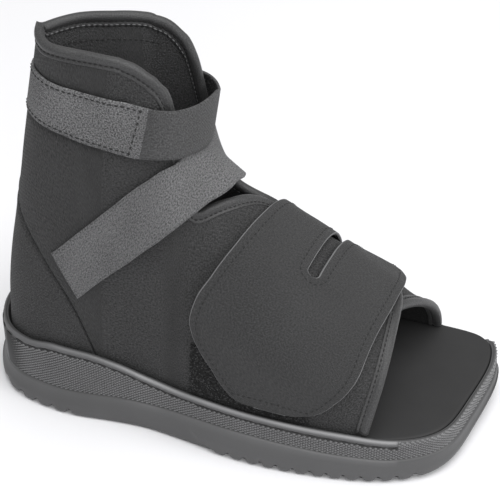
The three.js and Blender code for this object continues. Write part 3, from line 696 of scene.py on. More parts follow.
def pile_group():
    """Small curled loops of thread, as on the soft half of a hook and loop tape."""
    group, given, result = shader_group("Pile", {"Loop Size": 0.0012}, ["Height", "Glints"])
    scale = calculate(group, "DIVIDE", 1.0, given["Loop Size"])
    cells = add_node(group, "ShaderNodeTexVoronoi", {"Vector": given["Vector"], "Scale": scale})
    fuzz = noise(group, given["Vector"], scale, 2.0)
    dome = calculate(group, "SUBTRACT", 1.0, cells.outputs["Distance"])
    height = calculate(group, "MULTIPLY", dome, fuzz)
    group.links.new(height, result["Height"])
    group.links.new(stretch(group, height, *GLINT_RANGE), result["Glints"])
    return group


MOTTLING = mottling_group()
WEAVE = weave_group()
PILE = pile_group()
print("shared finishes:", MOTTLING.name, WEAVE.name, PILE.name)


# %% Helpers for materials
def new_material(name, roughness, **plain):
    material = bpy.data.materials.new(name)
    material.use_nodes = True
    tree = material.node_tree
    shader = tree.nodes["Principled BSDF"]
    shader.inputs["Roughness"].default_value = roughness
    for socket, value in plain.items():
        shader.inputs[socket.replace("_", " ")].default_value = value
    return material, tree, shader


def use_group(tree, group, **inputs):
    values = {socket.replace("_", " "): value for socket, value in inputs.items()}
    return add_node(tree, "ShaderNodeGroup", values, node_tree=group).outputs


def bump(tree, shader, height, distance, strength=1.0):
    made = add_node(tree, "ShaderNodeBump", {"Height": height, "Distance": distance, "Strength": strength})
    tree.links.new(made.outputs[0], shader.inputs["Normal"])


# %% Cloth
MATT = {"sheen": 0.05, "rough": 0.85}
SATIN = {"sheen": 0.08, "rough": 0.48}
NO_SHEEN = {"sheen": 0.0, "rough": 0.85}
CLOTHS = [
    {"name": "upper_cloth", "dark": 0.01, "light": 0.054, "grain": 0.0012, "relief": 0.0004, **MATT},
    {"name": "lining_cloth", "dark": 0.035, "light": 0.11, "grain": 0.0012, "relief": 0.0003, **MATT},
    # The lining inside the forefoot is near black as painted shade.
    {"name": "vamp_lining_painted_shade", "dark": 0.004, "light": 0.016, "grain": 0.0012, "relief": 0.0003, **NO_SHEEN},
    {"name": "flap_cloth", "dark": 0.02, "light": 0.046, "grain": 0.0011, "relief": 0.0003, **MATT},
    {"name": "binding_tape", "dark": 0.02, "light": 0.058, "grain": 0.0008, "relief": 0.0001, **SATIN},
    {"name": "instep_web", "dark": 0.04, "light": 0.215, "grain": 0.001, "relief": 0.0004, **MATT},
    {"name": "ankle_web", "dark": 0.03, "light": 0.092, "grain": 0.0011, "relief": 0.0004, **MATT},
    {"name": "strap_pile", "dark": 0.015, "light": 0.25, "grain": 0.0009, "relief": 0.0004, **MATT},
]
SHEEN_ROUGH = 0.4
CLOTH_CLOUD = {"size": 0.035, "share": 0.5}
SPECK_RANGE = (0.28, 0.72)
WEAVE_FLOOR = 0.5


def cloth_material(row):
    material, tree, shader = new_material(
        row["name"], row["rough"], Sheen_Weight=row["sheen"], Sheen_Roughness=SHEEN_ROUGH
    )
    uv = add_node(tree, "ShaderNodeUVMap", uv_map="cloth").outputs[0]
    mottling = use_group(tree, MOTTLING, Vector=uv, Cloud_Size=CLOTH_CLOUD["size"], Speck_Size=row["grain"])
    weave = use_group(tree, WEAVE, Vector=uv, Pitch=row["grain"])
    specks = stretch(tree, mottling["Specks"], *SPECK_RANGE)
    centred = calculate(tree, "SUBTRACT", mottling["Clouds"], 0.5)
    shade = calculate(tree, "ADD", specks, calculate(tree, "MULTIPLY", centred, CLOTH_CLOUD["share"]))
    colour = mix_colours(tree, shade, grey(row["dark"]), grey(row["light"]))
    tree.links.new(colour, shader.inputs["Base Color"])
    height = calculate(tree, "MULTIPLY", specks, calculate(tree, "ADD", weave["Height"], WEAVE_FLOOR))
    bump(tree, shader, height, row["relief"])
    return material


cloths = {row["name"]: cloth_material(row) for row in CLOTHS}


# %% Pile, rubber, foam and thread
def pile_material(name, dark, light, roughness, loop_size, relief):
    material, tree, shader = new_material(name, roughness)
    uv = add_node(tree, "ShaderNodeUVMap", uv_map="cloth").outputs[0]
    pile = use_group(tree, PILE, Vector=uv, Loop_Size=loop_size)
    colour = mix_colours(tree, pile["Glints"], grey(dark), grey(light))
    tree.links.new(colour, shader.inputs["Base Color"])
    bump(tree, shader, pile["Height"], relief)
    return material


PATCH_LOOK = {"dark": 0.006, "light": 0.085, "roughness": 0.95, "loop_size": 0.0012, "relief": 0.0006}
patch_pile = pile_material("patch_pile", **PATCH_LOOK)
HIGHLIGHT_FLOOR = 0.3
RUBBER_GRAIN = {"cloud": 0.03, "speck": 0.0009, "relief": 0.00008}
FOAM_GRAIN = {"cloud": 0.02, "speck": 0.0007, "relief": 0.00004}
EDGE_GRAIN = {"cloud": 0.01, "speck": 0.0006, "relief": 0.0001}
THREAD_GRAIN = {"cloud": 0.01, "speck": 0.0005, "relief": 0.0001}


def plain_mottled(name, dark, light, roughness, cloud, speck, relief, wear_light=None):
    """A moulded or cut material. A painted-highlight attribute, where it has one, lightens the raised edges
    as a painted highlight.
    """
    material, tree, shader = new_material(name, roughness)
    place = add_node(tree, "ShaderNodeTexCoord").outputs["Object"]
    mottling = use_group(tree, MOTTLING, Vector=place, Cloud_Size=cloud, Speck_Size=speck)
    colour = mix_colours(tree, mottling["Clouds"], grey(dark), grey(light))
    if wear_light is not None:
        wear = add_node(tree, "ShaderNodeAttribute", attribute_name="wear").outputs["Fac"]
        highlighted = calculate(tree, "MULTIPLY", wear, calculate(tree, "ADD", mottling["Clouds"], HIGHLIGHT_FLOOR))
        colour = mix_colours(tree, highlighted, colour, grey(wear_light))
    tree.links.new(colour, shader.inputs["Base Color"])
    bump(tree, shader, mottling["Specks"], relief)
    return material


# The bead and the ledge of the sole get a painted highlight in a lighter grey.
rubber = plain_mottled(
    "moulded_rubber", dark=0.064, light=0.088, roughness=0.5, wear_light=0.3, **RUBBER_GRAIN
)
knurl_rubber = plain_mottled("knurl_rubber", dark=0.15, light=0.2, roughness=0.5, **RUBBER_GRAIN)
# Near-black rubber paints shade: the base between the knurl diamonds and the lowest tread rows.
painted_shade_rubber = plain_mottled("painted_shade_rubber", dark=0.02, light=0.03, roughness=0.6, **RUBBER_GRAIN)
insole_foam = plain_mottled("insole_foam", dark=0.016, light=0.024, roughness=0.7, **FOAM_GRAIN)
cut_edge = plain_mottled("cut_edge", dark=0.12, light=0.2, roughness=0.9, **EDGE_GRAIN)
dark_thread = plain_mottled("dark_thread", dark=0.008, light=0.016, roughness=0.8, **THREAD_GRAIN)
pale_thread = plain_mottled("pale_thread", dark=0.12, light=0.2, roughness=0.8, **THREAD_GRAIN)
print("materials:", len(bpy.data.materials))

# %% [markdown]
# The rubber cup sole
#
# On the real boot the sole is one moulding: a tread with rounded lugs, a smooth lower band, a knurled band,
# a stitched groove and a bead round the rim. It could be cut from a block, but every one of these features
# is a line that runs round the foot. So the sole is a stack of rings, each at its own height and inset.

# %% Tables of the sole's profile
SOLE_STEPS = 330
LUG_ROWS = [{"start": -141.4, "end": -96.6, "count": 5}, {"start": 8, "end": 118, "count": 12}]
LUG_NOTCH = {"depth": 2.7, "width": 1.5, "scallop": 0.9, "half_pitch": 5.0}
RIB_END = (107, 108.5)
RIB_HEEL = (-138, -98)
HEEL_RIB = 0.35
LUG_TAPER = 0.45
FINE_STEPS = 4000
WAIST = {"rear": -96, "rear_run": 30, "front": 3, "front_drift": 58, "front_run": 3, "depth": 1.4}
HEEL_FLARE = {"from": -75, "to": -40, "depth": 1.6}
FAR_RIM = {"drop": 5.0, "from": 88, "full": 100, "back": 138, "end": 147}
ledge_at = smooth_table(
    [
        (-154, 18), (-124, 17), (-103, 16.9), (-84, 17.7), (-65, 19.4), (-45, 20.6), (-26, 21.7),
        (-6, 22), (16, 22.2), (40, 21), (64, 19.1), (87, 17.7), (104, 16.5), (130, 17), (150, 19.6),
    ]
)
# Each row rises from the underside, from the ledge, or from the rim. A band row lies between the first two.
# Some rows paint a highlight: a lighter grey on the bead and the ledge.
SOLE_PROFILE = [
    {"base": "underside", "rise": 0.0, "inset": 2.8, "waist": 0.7, "flare": 1.0},
    {"base": "underside", "rise": 0.15, "inset": 0.6, "lug": 1.0, "waist": 0.9, "flare": 1.0},
    {"base": "underside", "rise": 0.7, "inset": -0.4, "lug": 0.95, "waist": 1.0, "flare": 1.0},
    {"base": "underside", "rise": 1.7, "inset": -1.0, "lug": 0.8, "waist": 1.0, "flare": 1.0},
    {"base": "underside", "rise": 3.2, "inset": -1.2, "lug": 0.4, "waist": 1.0, "flare": 0.95},
    {"base": "underside", "rise": 4.6, "inset": -1.2, "lug": 0.1, "waist": 0.9, "flare": 0.9},
    {"base": "band", "rise": 0.42, "inset": -1.0, "waist": 0.7, "flare": 0.7},
    {"base": "band", "rise": 0.5, "inset": -0.7, "waist": 0.5, "flare": 0.6},
    {"base": "band", "rise": 0.54, "inset": -0.5, "waist": 0.4, "flare": 0.5},
    {"base": "band", "rise": 0.75, "inset": -0.1, "waist": 0.1, "flare": 0.2},
    {"base": "ledge", "rise": -1.2, "inset": 0.05, "wear": 0.1},
    {"base": "ledge", "rise": -0.4, "inset": 0.2, "wear": 0.2},
    {"base": "ledge", "rise": 0.1, "inset": 0.7, "wear": 0.2},
    {"base": "ledge", "rise": 0.4, "inset": 1.3, "heel": 0.8},
    {"base": "ledge", "rise": 0.8, "inset": 1.75, "heel": 1.3, "name": "knurl foot"},
    {"base": "rim", "rise": -4.5, "inset": 1.75, "heel": 1.3, "name": "knurl top"},
    {"base": "rim", "rise": -4.3, "inset": 1.7, "rib": 0.6, "heel": 0.9},
    {"base": "rim", "rise": -3.8, "inset": 1.7, "rib": 0.6, "heel": 0.9},
    {"base": "rim", "rise": -3.6, "inset": 1.65, "rib": -0.35, "heel": 0.3},
    {"base": "rim", "rise": -2.8, "inset": 1.6, "rib": -0.7},
    {"base": "rim", "rise": -2.2, "inset": 1.6, "rib": -0.8},
    {"base": "rim", "rise": -1.7, "inset": 1.6, "rib": -0.9, "wear": 0.1},
    {"base": "rim", "rise": -1.1, "inset": 1.62, "rib": -0.95, "wear": 0.35},
    {"base": "rim", "rise": -0.5, "inset": 1.68, "rib": -0.9, "wear": 0.7},
    {"base": "rim", "rise": -0.05, "inset": 1.85, "rib": -0.7, "wear": 0.9},
    {"base": "rim", "rise": 0.2, "inset": 2.2, "rib": -0.35, "wear": 0.8},
    {"base": "rim", "rise": 0.3, "inset": 2.6, "wear": 0.4},
    {"base": "rim", "rise": 0.0, "inset": 3.1, "name": "knurl end"},
    {"base": "rim", "rise": -0.5, "inset": 3.5},
    {"base": "rim", "rise": -0.35, "inset": 3.9},
    {"base": "rim", "rise": -0.6, "inset": 4.35},
    {"base": "rim", "rise": -1.6, "inset": RIM_WALL},
]
KNURL_FADE = (-143, -124)
SHINE, SHINE_FROM = (0.5, 1.0), (-75, -45)
# The lowest rows of the tread, next to the floor, are painted in shade.
SHADED_TREAD_ROWS = 2
FOOTBED = INSOLE_TOP - INSOLE_THICK - FIT_GAP
lug_notches = np.concatenate([np.linspace(row["start"], row["end"], row["count"]) for row in LUG_ROWS])
print("sole profile:", len(SOLE_PROFILE), "rows and", len(lug_notches), "notches")


# %% Shapes of the tread, the waist and the rim
def tread_lift(x):
    """How far the tread is cut back: deep in the grooves, a little at the rounded ends of the lugs."""
    near = np.abs(x[..., None] - lug_notches).min(-1)
    rounding = np.clip(1 - near / LUG_NOTCH["half_pitch"], 0, 1) ** 2
    return LUG_NOTCH["depth"] * np.exp(-((near / LUG_NOTCH["width"]) ** 2)) + LUG_NOTCH["scallop"] * rounding


def waist_inset(x, share):
    """The smooth shank is cut in below, and ends at the forefoot in a slanted step."""
    front = WAIST["front"] - WAIST["front_drift"] * share
    rear = eased(WAIST["rear"], WAIST["rear"] + WAIST["rear_run"], x)
    return WAIST["depth"] * rear * (1 - eased(front - WAIST["front_run"], front, x))


def rib_share(x):
    """The bead round the rim is flat at the heel and ends before the toe."""
    return (1 - eased(*RIB_END, x)) * blend(HEEL_RIB, 1, eased(*RIB_HEEL, x))


def far_rim_drop(x, outer):
    """On the far side of the toe the rim lies lower than the insole."""
    dropped = eased(FAR_RIM["from"], FAR_RIM["full"], x) * (1 - eased(FAR_RIM["back"], FAR_RIM["end"], x))
    return np.where(outer, 0, FAR_RIM["drop"] * dropped)


def sole_row(row, x, outer):
    """Height and inset of one row of the sole's profile at x, on one side."""
    low, ledge, rim = underside_at(x), ledge_at(x), rim_at(x) - far_rim_drop(x, outer)
    level = {
        "underside": low + row["rise"],
        "band": blend(low, ledge, row["rise"]),
        "ledge": ledge + row["rise"],
        "rim": rim + row["rise"],
    }
    z = level[row["base"]]
    lift = tread_lift(x) * row.get("lug", 0)
    inset = row["inset"] + row.get("rib", 0) * rib_share(x) + LUG_TAPER * lift
    inset = inset + waist_inset(x, (z - low) / (rim - low)) * row.get("waist", 0)
    flare = HEEL_FLARE["depth"] * (1 - eased(HEEL_FLARE["from"], HEEL_FLARE["to"], x))
    inset = inset - flare * row.get("flare", 0)
    return z + lift, inset - row.get("heel", 0) * (1 - eased(*KNURL_FADE, x))


# %% Rings round the outline
def even_positions(steps):
    """Positions along the foot that are evenly spaced along the outline, and the same on both sides."""
    turn = np.linspace(0, np.pi, FINE_STEPS)
    x = blend(OUTER_SIDE[0, 0], OUTER_SIDE[-1, 0], (1 - np.cos(turn)) / 2)
    runs = [np.hypot(np.diff(x), np.diff(outline_at(x, outer)[0])) for outer in (True, False)]
    length = summed(np.maximum(*runs))
    return np.interp(np.linspace(0, length[-1], steps + 1), length, x)


def ring_frame(steps):
    xs = even_positions(steps)
    x = np.concatenate([xs, xs[-2:0:-1]])
    outer = np.arange(len(x)) <= steps
    return (x, *outline_at(x, outer)), outer


def ring_points(ring, inset, z):
    x, y, inward_x, inward_y = ring
    return np.stack(np.broadcast_arrays(x + inward_x * inset, y + inward_y * inset, z), -1)


def stacked_rings(rings):
    """Points and faces of rings that are stacked from the bottom up and closed at both ends."""
    count, half_count = rings.shape[1], rings.shape[1] // 2
    i = np.arange(count)
    start = (np.arange(len(rings) - 1) * count)[:, None]
    after = (i + 1) % count
    sides = np.stack([start + i, start + after, start + count + after, start + count + i], -1)
    k = np.arange(half_count)
    near, near_next = k, k + 1
    far, far_next = (count - k) % count, count - k - 1
    bottom = [list(dict.fromkeys(quad)) for quad in zip(near, far, far_next, near_next)]
    last = (len(rings) - 1) * count
    top = [[last + corner for corner in reversed(quad)] for quad in bottom]
    return rings.reshape(-1, 3), [*sides.reshape(-1, 4).tolist(), *bottom, *top]


# %% The sole's mesh
sole_ring, sole_outer = ring_frame(SOLE_STEPS)
sole_rows = [sole_row(row, sole_ring[0], sole_outer) for row in SOLE_PROFILE]
sole_rings = [ring_points(sole_ring, inset, z) for z, inset in sole_rows]
sole_rings.append(ring_points(sole_ring, RIM_WALL, FOOTBED))
ring_size = len(sole_ring[0])
# The painted highlight on the bead is weaker at the heel and full from the waist forward.
rim_shine = rib_share(sole_ring[0]) * blend(*SHINE, eased(*SHINE_FROM, sole_ring[0]))
sole_wear = [rim_shine * row.get("wear", 0) for row in SOLE_PROFILE] + [np.zeros(ring_size)]
sole_points, sole_faces = stacked_rings(np.array(sole_rings))
row_index = {row["name"]: i for i, row in enumerate(SOLE_PROFILE) if "name" in row}
band_of_face = np.arange(len(sole_faces)) // ring_size
is_knurled = (band_of_face >= row_index["knurl foot"]) & (band_of_face < row_index["knurl top"])
is_knurled &= np.resize(sole_ring[0], len(sole_faces)) > KNURL_FADE[0]
# The base of the knurled band and the lowest tread rows take the near-black rubber as painted shade.
is_painted_shade = is_knurled | (band_of_face < SHADED_TREAD_ROWS)
sole_piece = add_piece(
    "rubber_sole",
    sole_points,
    sole_faces,
    [rubber, painted_shade_rubber],
    face_material=is_painted_shade,
    wear=np.concatenate(sole_wear),
)
finish_piece(sole_piece, "rubber", "sole")

# %% [markdown]
# Knurling with Geometry Nodes
#
# The band below the rim is moulded with small raised diamonds, several thousand of them. Modelling each one
# is hopeless, and a bump map would leave the outline smooth. So the script only lays out one point for each
# diamond, with the direction of the wall there, and a tree sets a blunt four-sided pyramid on every point.


# %% A tree that sets a small solid on every point
def geometry_tree(name, inputs):
    """A Geometry Nodes tree with a mesh input and named values. Returns the tree, its inputs and its end."""
    tree = bpy.data.node_groups.new(name, "GeometryNodeTree")
    tree.interface.new_socket("Mesh", in_out="INPUT", socket_type="NodeSocketGeometry")
    for socket, kind in inputs.items():
        tree.interface.new_socket(socket, in_out="INPUT", socket_type="NodeSocket" + kind)
    tree.interface.new_socket("Mesh", in_out="OUTPUT", socket_type="NodeSocketGeometry")
    return tree, tree.nodes.new("NodeGroupInput").outputs, tree.nodes.new("NodeGroupOutput").inputs


def carried(tree, name, kind="FLOAT_VECTOR"):
    """A value that each point carries under a name."""
    return add_node(tree, "GeometryNodeInputNamedAttribute", {0: name}, data_type=kind).outputs[0]


def facing(tree, along):
    """A rotation whose X runs along a direction and whose Z points away from the surface."""
    kind = "FunctionNodeAlignRotationToVector"
    turned = add_node(tree, kind, {"Vector": along}, axis="X").outputs[0]
    values = {"Rotation": turned, "Vector": carried(tree, "away")}
    return add_node(tree, kind, values, axis="Z", pivot_axis="X").outputs[0]


def end_tree(tree, result, material, **placing):
    """Sets a small solid on every point and ends the tree with plain geometry of one material."""
    placed = add_node(tree, "GeometryNodeInstanceOnPoints", placing).outputs[0]
    real = add_node(tree, "GeometryNodeRealizeInstances", {0: placed}).outputs[0]
    shaded = add_node(tree, "GeometryNodeSetMaterial", {0: real, "Material": material}).outputs[0]
    tree.links.new(shaded, result[0])
    return tree


def knurl_tree():
    inputs = {"Shape": "Vector", "Top Share": "Float", "Material": "Material"}
    tree, given, result = geometry_tree("Knurl", inputs)
    top = calculate(tree, "MULTIPLY", given["Top Share"], 0.5)
    sizes = {"Vertices": 4, "Radius Top": top, "Radius Bottom": 0.5, "Depth": 1.0}
    pyramid = add_node(tree, "GeometryNodeMeshCone", sizes).outputs["Mesh"]
    return end_tree(
        tree,
        result,
        given["Material"],
        Points=given["Mesh"],
        Instance=pyramid,
        Rotation=facing(tree, carried(tree, "run")),
        Scale=scale_vector(tree, given["Shape"], carried(tree, "size", "FLOAT")),
    )


# %% Keeping a tree's result as a plain mesh
def bake_tree(name, points, edges, tree, values, **vectors):
    """Runs a tree on points that carry directions, and keeps its result as a plain mesh."""
    mesh = bpy.data.meshes.new(name)
    mesh.from_pydata(((points + SHIFT) * MM).tolist(), edges, [])
    for attribute, data in vectors.items():
        kind, field = ("FLOAT", "value") if np.ndim(data) == 1 else ("FLOAT_VECTOR", "vector")
        made = mesh.attributes.new(attribute, kind, "POINT")
        made.data.foreach_set(field, np.asarray(data, np.float32).ravel())
    piece = bpy.data.objects.new(name, mesh)
    scene.collection.objects.link(piece)
    return bake_piece(piece, tree, values)


def bake_piece(piece, tree, values):
    modifier = piece.modifiers.new(tree.name, "NODES")
    modifier.node_group = tree
    for item in tree.interface.items_tree:
        if item.in_out == "INPUT" and item.name in values:
            modifier[item.identifier] = values[item.name]
    bpy.context.view_layer.update()
    evaluated = piece.evaluated_get(bpy.context.evaluated_depsgraph_get())
    made = bpy.data.meshes.new_from_object(evaluated)
    piece.modifiers.clear()
    piece.data = made
    print(piece.name, "has", len(made.polygons), "faces")
    return piece


# %% The knurled band
KNURL = {"pitch": 3.1, "row": 1.0, "sunk": 0.15, "toe_gap": 0.4, "edge": 0.4, "ahead": 0.2, "least": 0.1}
KNURL_SHAPE = np.array([2.7, 1.75, 0.95])
KNURL_TOP_SHARE = 0.42


def outline_positions(spacing):
    """Evenly spaced places all round the outline: position x, and whether it is on the outer side."""
    x, y, *_ = sole_ring
    loop = np.append(x, x[0]), np.append(y, y[0])
    length = summed(np.hypot(np.diff(loop[0]), np.diff(loop[1])))
    count = 2 * int(length[-1] / spacing / 2)
    at = np.arange(count) * length[-1] / count
    outer = at <= length[SOLE_STEPS]
    return np.interp(at, length, loop[0]), outer


knurl_x, knurl_outer = outline_positions(KNURL["pitch"] / 2)
knurl_ring = (knurl_x, *outline_at(knurl_x, knurl_outer))
knurl_rows = SOLE_PROFILE[row_index["knurl foot"] : row_index["knurl end"] + 1]
knurl_levels = [sole_row(row, knurl_x, knurl_outer) for row in knurl_rows]
knurl_wall = np.array([ring_points(knurl_ring, inset, z) for z, inset in knurl_levels])
knurl_rise = np.linalg.norm(np.diff(knurl_wall, axis=0), axis=-1)
knurl_height = np.concatenate([np.zeros((1, len(knurl_x))), np.cumsum(knurl_rise, 0)])
knurl_top = np.where(knurl_x > RIB_END[1], knurl_height[-1] - KNURL["toe_gap"], knurl_height[1])
knurls = []
for column in range(len(knurl_x)):
    count = int((knurl_top[column] - KNURL["row"] * KNURL["edge"]) / KNURL["row"])
    wall_line, heights = knurl_wall[:, column], knurl_height[:, column]
    run = np.array([knurl_ring[3][column], -knurl_ring[2][column], 0.0])
    size = max(KNURL["least"], float(eased(*KNURL_FADE, knurl_x[column])))
    for line in range(column % 2, count, 2):
        at = (line + 0.5) * KNURL["row"]
        place, ahead = (
            np.array([np.interp(at + step, heights, wall_line[:, k]) for k in range(3)])
            for step in (0, KNURL["ahead"])
        )
        away = unit(np.cross(run, unit(ahead - place)))
        knurls.append((place - away * KNURL["sunk"], away, run, size))
knurl_points, knurl_away, knurl_run, knurl_size = (np.array(values) for values in zip(*knurls))
knurl_piece = bake_tree(
    "knurled_band",
    knurl_points,
    [],
    knurl_tree(),
    {"Shape": KNURL_SHAPE * MM, "Top Share": KNURL_TOP_SHARE, "Material": knurl_rubber},
    away=knurl_away,
    run=knurl_run,
    size=knurl_size,
)
finish_piece(knurl_piece, "rubber")

# %% [markdown]
# The insole
#
# The foot stands on a flat, dark foam plate that fills the cup. Only its toe end shows. It is another stack
# of rings, with a soft rolled edge on top so that it catches a thin line of light.

# %% Insole
INSOLE_ROWS = [(0.0, 0.0), (3.6, 0.0), (4.3, 0.15), (4.75, 0.55), (4.95, 1.2), (5.0, 2.2), (5.0, 9.0)]
INSOLE_STEPS = 160
insole_ring, _ = ring_frame(INSOLE_STEPS)
insole_rings = [
    ring_points(insole_ring, RIM_WALL + FIT_GAP + inset, INSOLE_TOP - INSOLE_THICK + rise)
    for rise, inset in INSOLE_ROWS
]
insole_points, insole_faces = stacked_rings(np.array(insole_rings))
insole_piece = add_piece("foam_insole", insole_points, insole_faces, [insole_foam])
finish_piece(insole_piece, "foam", "insole")

# %% [markdown]
# The padded upper
#
# The upper is one wall of laminated cloth, about three millimetres thick: cloth outside, thin foam, lining.
# It could be inflated by a cloth simulation, but it hugs a known form closely. So the grid of the form is
# moved by small amounts instead: a dip along the heel seam, a bulge at the heel, a press under the sewn
# strap, and slight waves.

# %% Grid of the upper
CLOTH = 3.0
UPPER_ROWS = 49
SHADED_LINING_FROM = 10.0
SEAM_DIP = {"depth": 1.3, "width": 1.2, "fold": 0.3, "fold_at": 3.0, "fold_width": 1.5, "slant": 0.75}
WAVE = 0.16
SIDE_STEPS = {"corner": 14, "vamp": 26, "throat": 80, "ankle": 6}
THROAT = {"front": 24, "rear": -50}
HEEL_COLUMNS = 101


def side_positions(front):
    """Positions from the front edge of the vamp back to the ankle, closest where the edge turns."""
    corner = front - CORNER_LENGTH * (1 - np.cos(np.linspace(0, np.pi / 2, SIDE_STEPS["corner"])))
    vamp = np.linspace(front - CORNER_LENGTH, THROAT["front"], SIDE_STEPS["vamp"])
    throat = np.linspace(THROAT["front"], THROAT["rear"], SIDE_STEPS["throat"])
    ankle = np.linspace(THROAT["rear"], ANKLE_X, SIDE_STEPS["ankle"])
    return np.concatenate([corner, vamp[1:], throat[1:], ankle[1:-1]])


outer_ways = way_at(side_positions(OUTER_FRONT["x"]), True)
inner_ways = way_at(side_positions(INNER_FRONT["x"]), False)[::-1]
upper_ways = np.concatenate([outer_ways, np.linspace(-HEEL_ARC, HEEL_ARC, HEEL_COLUMNS), inner_ways])


def soft_waves(points):
    """Low broad and small waves in the cloth. The lengths of the waves are in millimetres."""
    x, y, z = np.moveaxis(points, -1, 0)
    broad = np.sin(x / 17 + z / 23 + 1.3) * np.sin(z / 19 - x / 31)
    small = np.sin(x / 7.3 - z / 11 + y / 9) * np.sin(z / 8.1 + 0.7)
    return WAVE * (broad + 0.5 * small)


def seam_dip(distance):
    dip = SEAM_DIP["depth"] * np.exp(-((distance / SEAM_DIP["width"]) ** 2))
    fold = SEAM_DIP["fold"] * np.exp(-(((distance - SEAM_DIP["fold_at"]) / SEAM_DIP["fold_width"]) ** 2))
    return fold - dip


# %% Where the cloth is pressed in or bulges out
# Each row holds angle, height and stand-off of the strap's lower edge, then of its upper edge.
ANKLE_STRAP = [
    (-252, 188, -0.5, -252, 218, -0.5),
    (-216, 193, -0.7, -216, 221, -0.7),
    (-180, 197, -0.7, -180, 224, -0.7),
    (-163, 198.4, -0.7, -163, 224.8, -0.7),
    (-144, 194.6, -0.7, -144, 222.2, -0.7),
    (-126, 191.9, -0.6, -126, 221.2, -0.6),
    (-108, 190.8, -0.5, -108, 220.6, -0.5),
    (-81, 188.7, 0.6, -67, 218.8, 0.7),
    (-57, 190.5, 2.4, -55, 218.6, 2.6),
    (-40, 188.8, 3, -40, 217.7, 5.5),
    (-17, 183.6, 1.4, -17, 215.3, 8.3),
    (7, 180, 0, 7, 212.7, 9.6),
    (39, 176, -0.8, 39, 202, 7),
    (64, 178, 1.8, 64, 204, 3),
    (86, 181, 1, 86, 210, 1),
    (100, 184.5, 2.2, 100, 214, 2.2),
    (112, 187, 2.3, 112, 217, 2.3),
]
PRESS = {"depth": 1.2, "margin": 3.0, "end": (-92, -76), "turn_at": 89}
HEEL_BULGE = {"depth": 1.8, "z": 85, "width": 32, "fade": (30, 90)}
NO_SEAM = 99.0


def strap_press(points):
    """How far the sewn part of the ankle strap presses into the cloth."""
    x, y, z = np.moveaxis(points, -1, 0)
    angle = np.degrees(np.arctan2(y - lean(x, z) - ANKLE_Y, x - ANKLE_X))
    angle = np.where(angle > PRESS["turn_at"], angle - 360, angle)
    angles, lows, _, _, highs, _ = np.array(ANKLE_STRAP).T
    low, high = np.interp(angle, angles, lows), np.interp(angle, angles, highs)
    under = eased(low - PRESS["margin"], low, z) * (1 - eased(high, high + PRESS["margin"], z))
    return PRESS["depth"] * under * (1 - eased(*PRESS["end"], angle))


# %% The two grids of a cloth wall
def cloth_wall(ways, low, high, rows):
    """Outer and inner grid of a cloth wall on the form, from a low to a high share."""
    way = np.repeat(ways[:, None], rows, 1)
    share = low[:, None] + (high - low)[:, None] * np.linspace(0, 1, rows)
    points, normals = on_form(way, share), form_normal(way, share)
    rise = np.linalg.norm(form_tangents(way, share)[1], axis=-1)
    seam = np.abs(share - seam_share(ways)[:, None]) * rise * SEAM_DIP["slant"]
    seam = np.where(np.abs(way) <= HEEL_ARC, seam, NO_SEAM)
    bulge = HEEL_BULGE["depth"] * np.exp(-(((points[..., 2] - HEEL_BULGE["z"]) / HEEL_BULGE["width"]) ** 2))
    bulge = bulge * (1 - eased(*HEEL_BULGE["fade"], np.abs(way)))
    shaped = soft_waves(points) + seam_dip(seam) + bulge - strap_press(points)
    return points + normals * shaped[..., None], points - normals * CLOTH


upper_outer, upper_inner = cloth_wall(
    upper_ways, seam_share(upper_ways), top_share(upper_ways), UPPER_ROWS
)
points, faces, source, _ = wall(upper_outer, upper_inner, bulge=0.4)
cell_count = (len(upper_ways) - 1) * (UPPER_ROWS - 1)
face_order = np.arange(len(faces))
face_x = foot_x(upper_ways)[face_order % cell_count // (UPPER_ROWS - 1)]
# Faces of the lining inside the forefoot get the near-black lining as painted shade.
lining = np.where(face_order < cell_count, 0, np.where(face_x > SHADED_LINING_FROM, 2, 1))
upper_uv = grid_lengths(upper_outer).reshape(-1, 2)
upper_piece = add_piece(
    "padded_upper",
    points,
    faces,
    [cloths["upper_cloth"], cloths["lining_cloth"], cloths["vamp_lining_painted_shade"]],
    uv=upper_uv[source],
    face_material=lining,
)
finish_piece(upper_piece, "cloth", "upper")

# %% Heel panel
PANEL_REACH = 77.0
PANEL_ROWS = 40
PANEL_COLUMNS = 81
PANEL_GAP = 0.4
panel_ways = np.linspace(-PANEL_REACH, PANEL_REACH, PANEL_COLUMNS)
panel_outer, panel_inner = cloth_wall(
    panel_ways, np.zeros(PANEL_COLUMNS), seam_share(panel_ways, PANEL_GAP), PANEL_ROWS
)
points, faces, source, _ = wall(panel_outer, panel_inner, bulge=0.3)
panel_uv = grid_lengths(panel_outer).reshape(-1, 2)
panel_piece = add_piece("padded_heel_panel", points, faces, [cloths["upper_cloth"]], uv=panel_uv[source])
finish_piece(panel_piece, "cloth", "heel_panel")

# %% [markdown]
# Binding tape
#
# A folded tape covers each raw edge of the cloth. It could be a swept curve with a round bevel, but a tape
# has a width, and it lies on a surface that bends both ways. So each point of its section slides a measured
# distance over the form before it is lifted off it, and the rows of sections make one thin folded sheet.

# %% Section of the tape and how it follows an edge
TAPE_THICK = 0.6
TAPE_SECTION = np.array(
    [
        (6.6, 0.4), (5.9, 0.7), (5.2, 0.45), (4.6, 0.2), (4.0, 0.4), (3.2, 1.0), (2.2, 1.5),
        (1.1, 1.65), (0.1, 1.25), (-0.75, 0.3), (-1.15, -0.7), (-1.15, -1.7), (-0.8, -2.7),
        (-0.1, -3.5), (0.8, -4.0), (1.8, -4.15), (2.8, -3.9), (3.6, -3.4), (4.2, -2.95), (4.7, -3.3),
        (5.5, -3.8), (6.3, -3.75), (7.0, -3.25),
    ]
)


def edge_frame(ways, shares):
    points, normals = on_form(ways, shares), form_normal(ways, shares)
    tangents = unit(np.gradient(points, axis=0))
    return points, normals, unit(np.cross(normals, tangents))


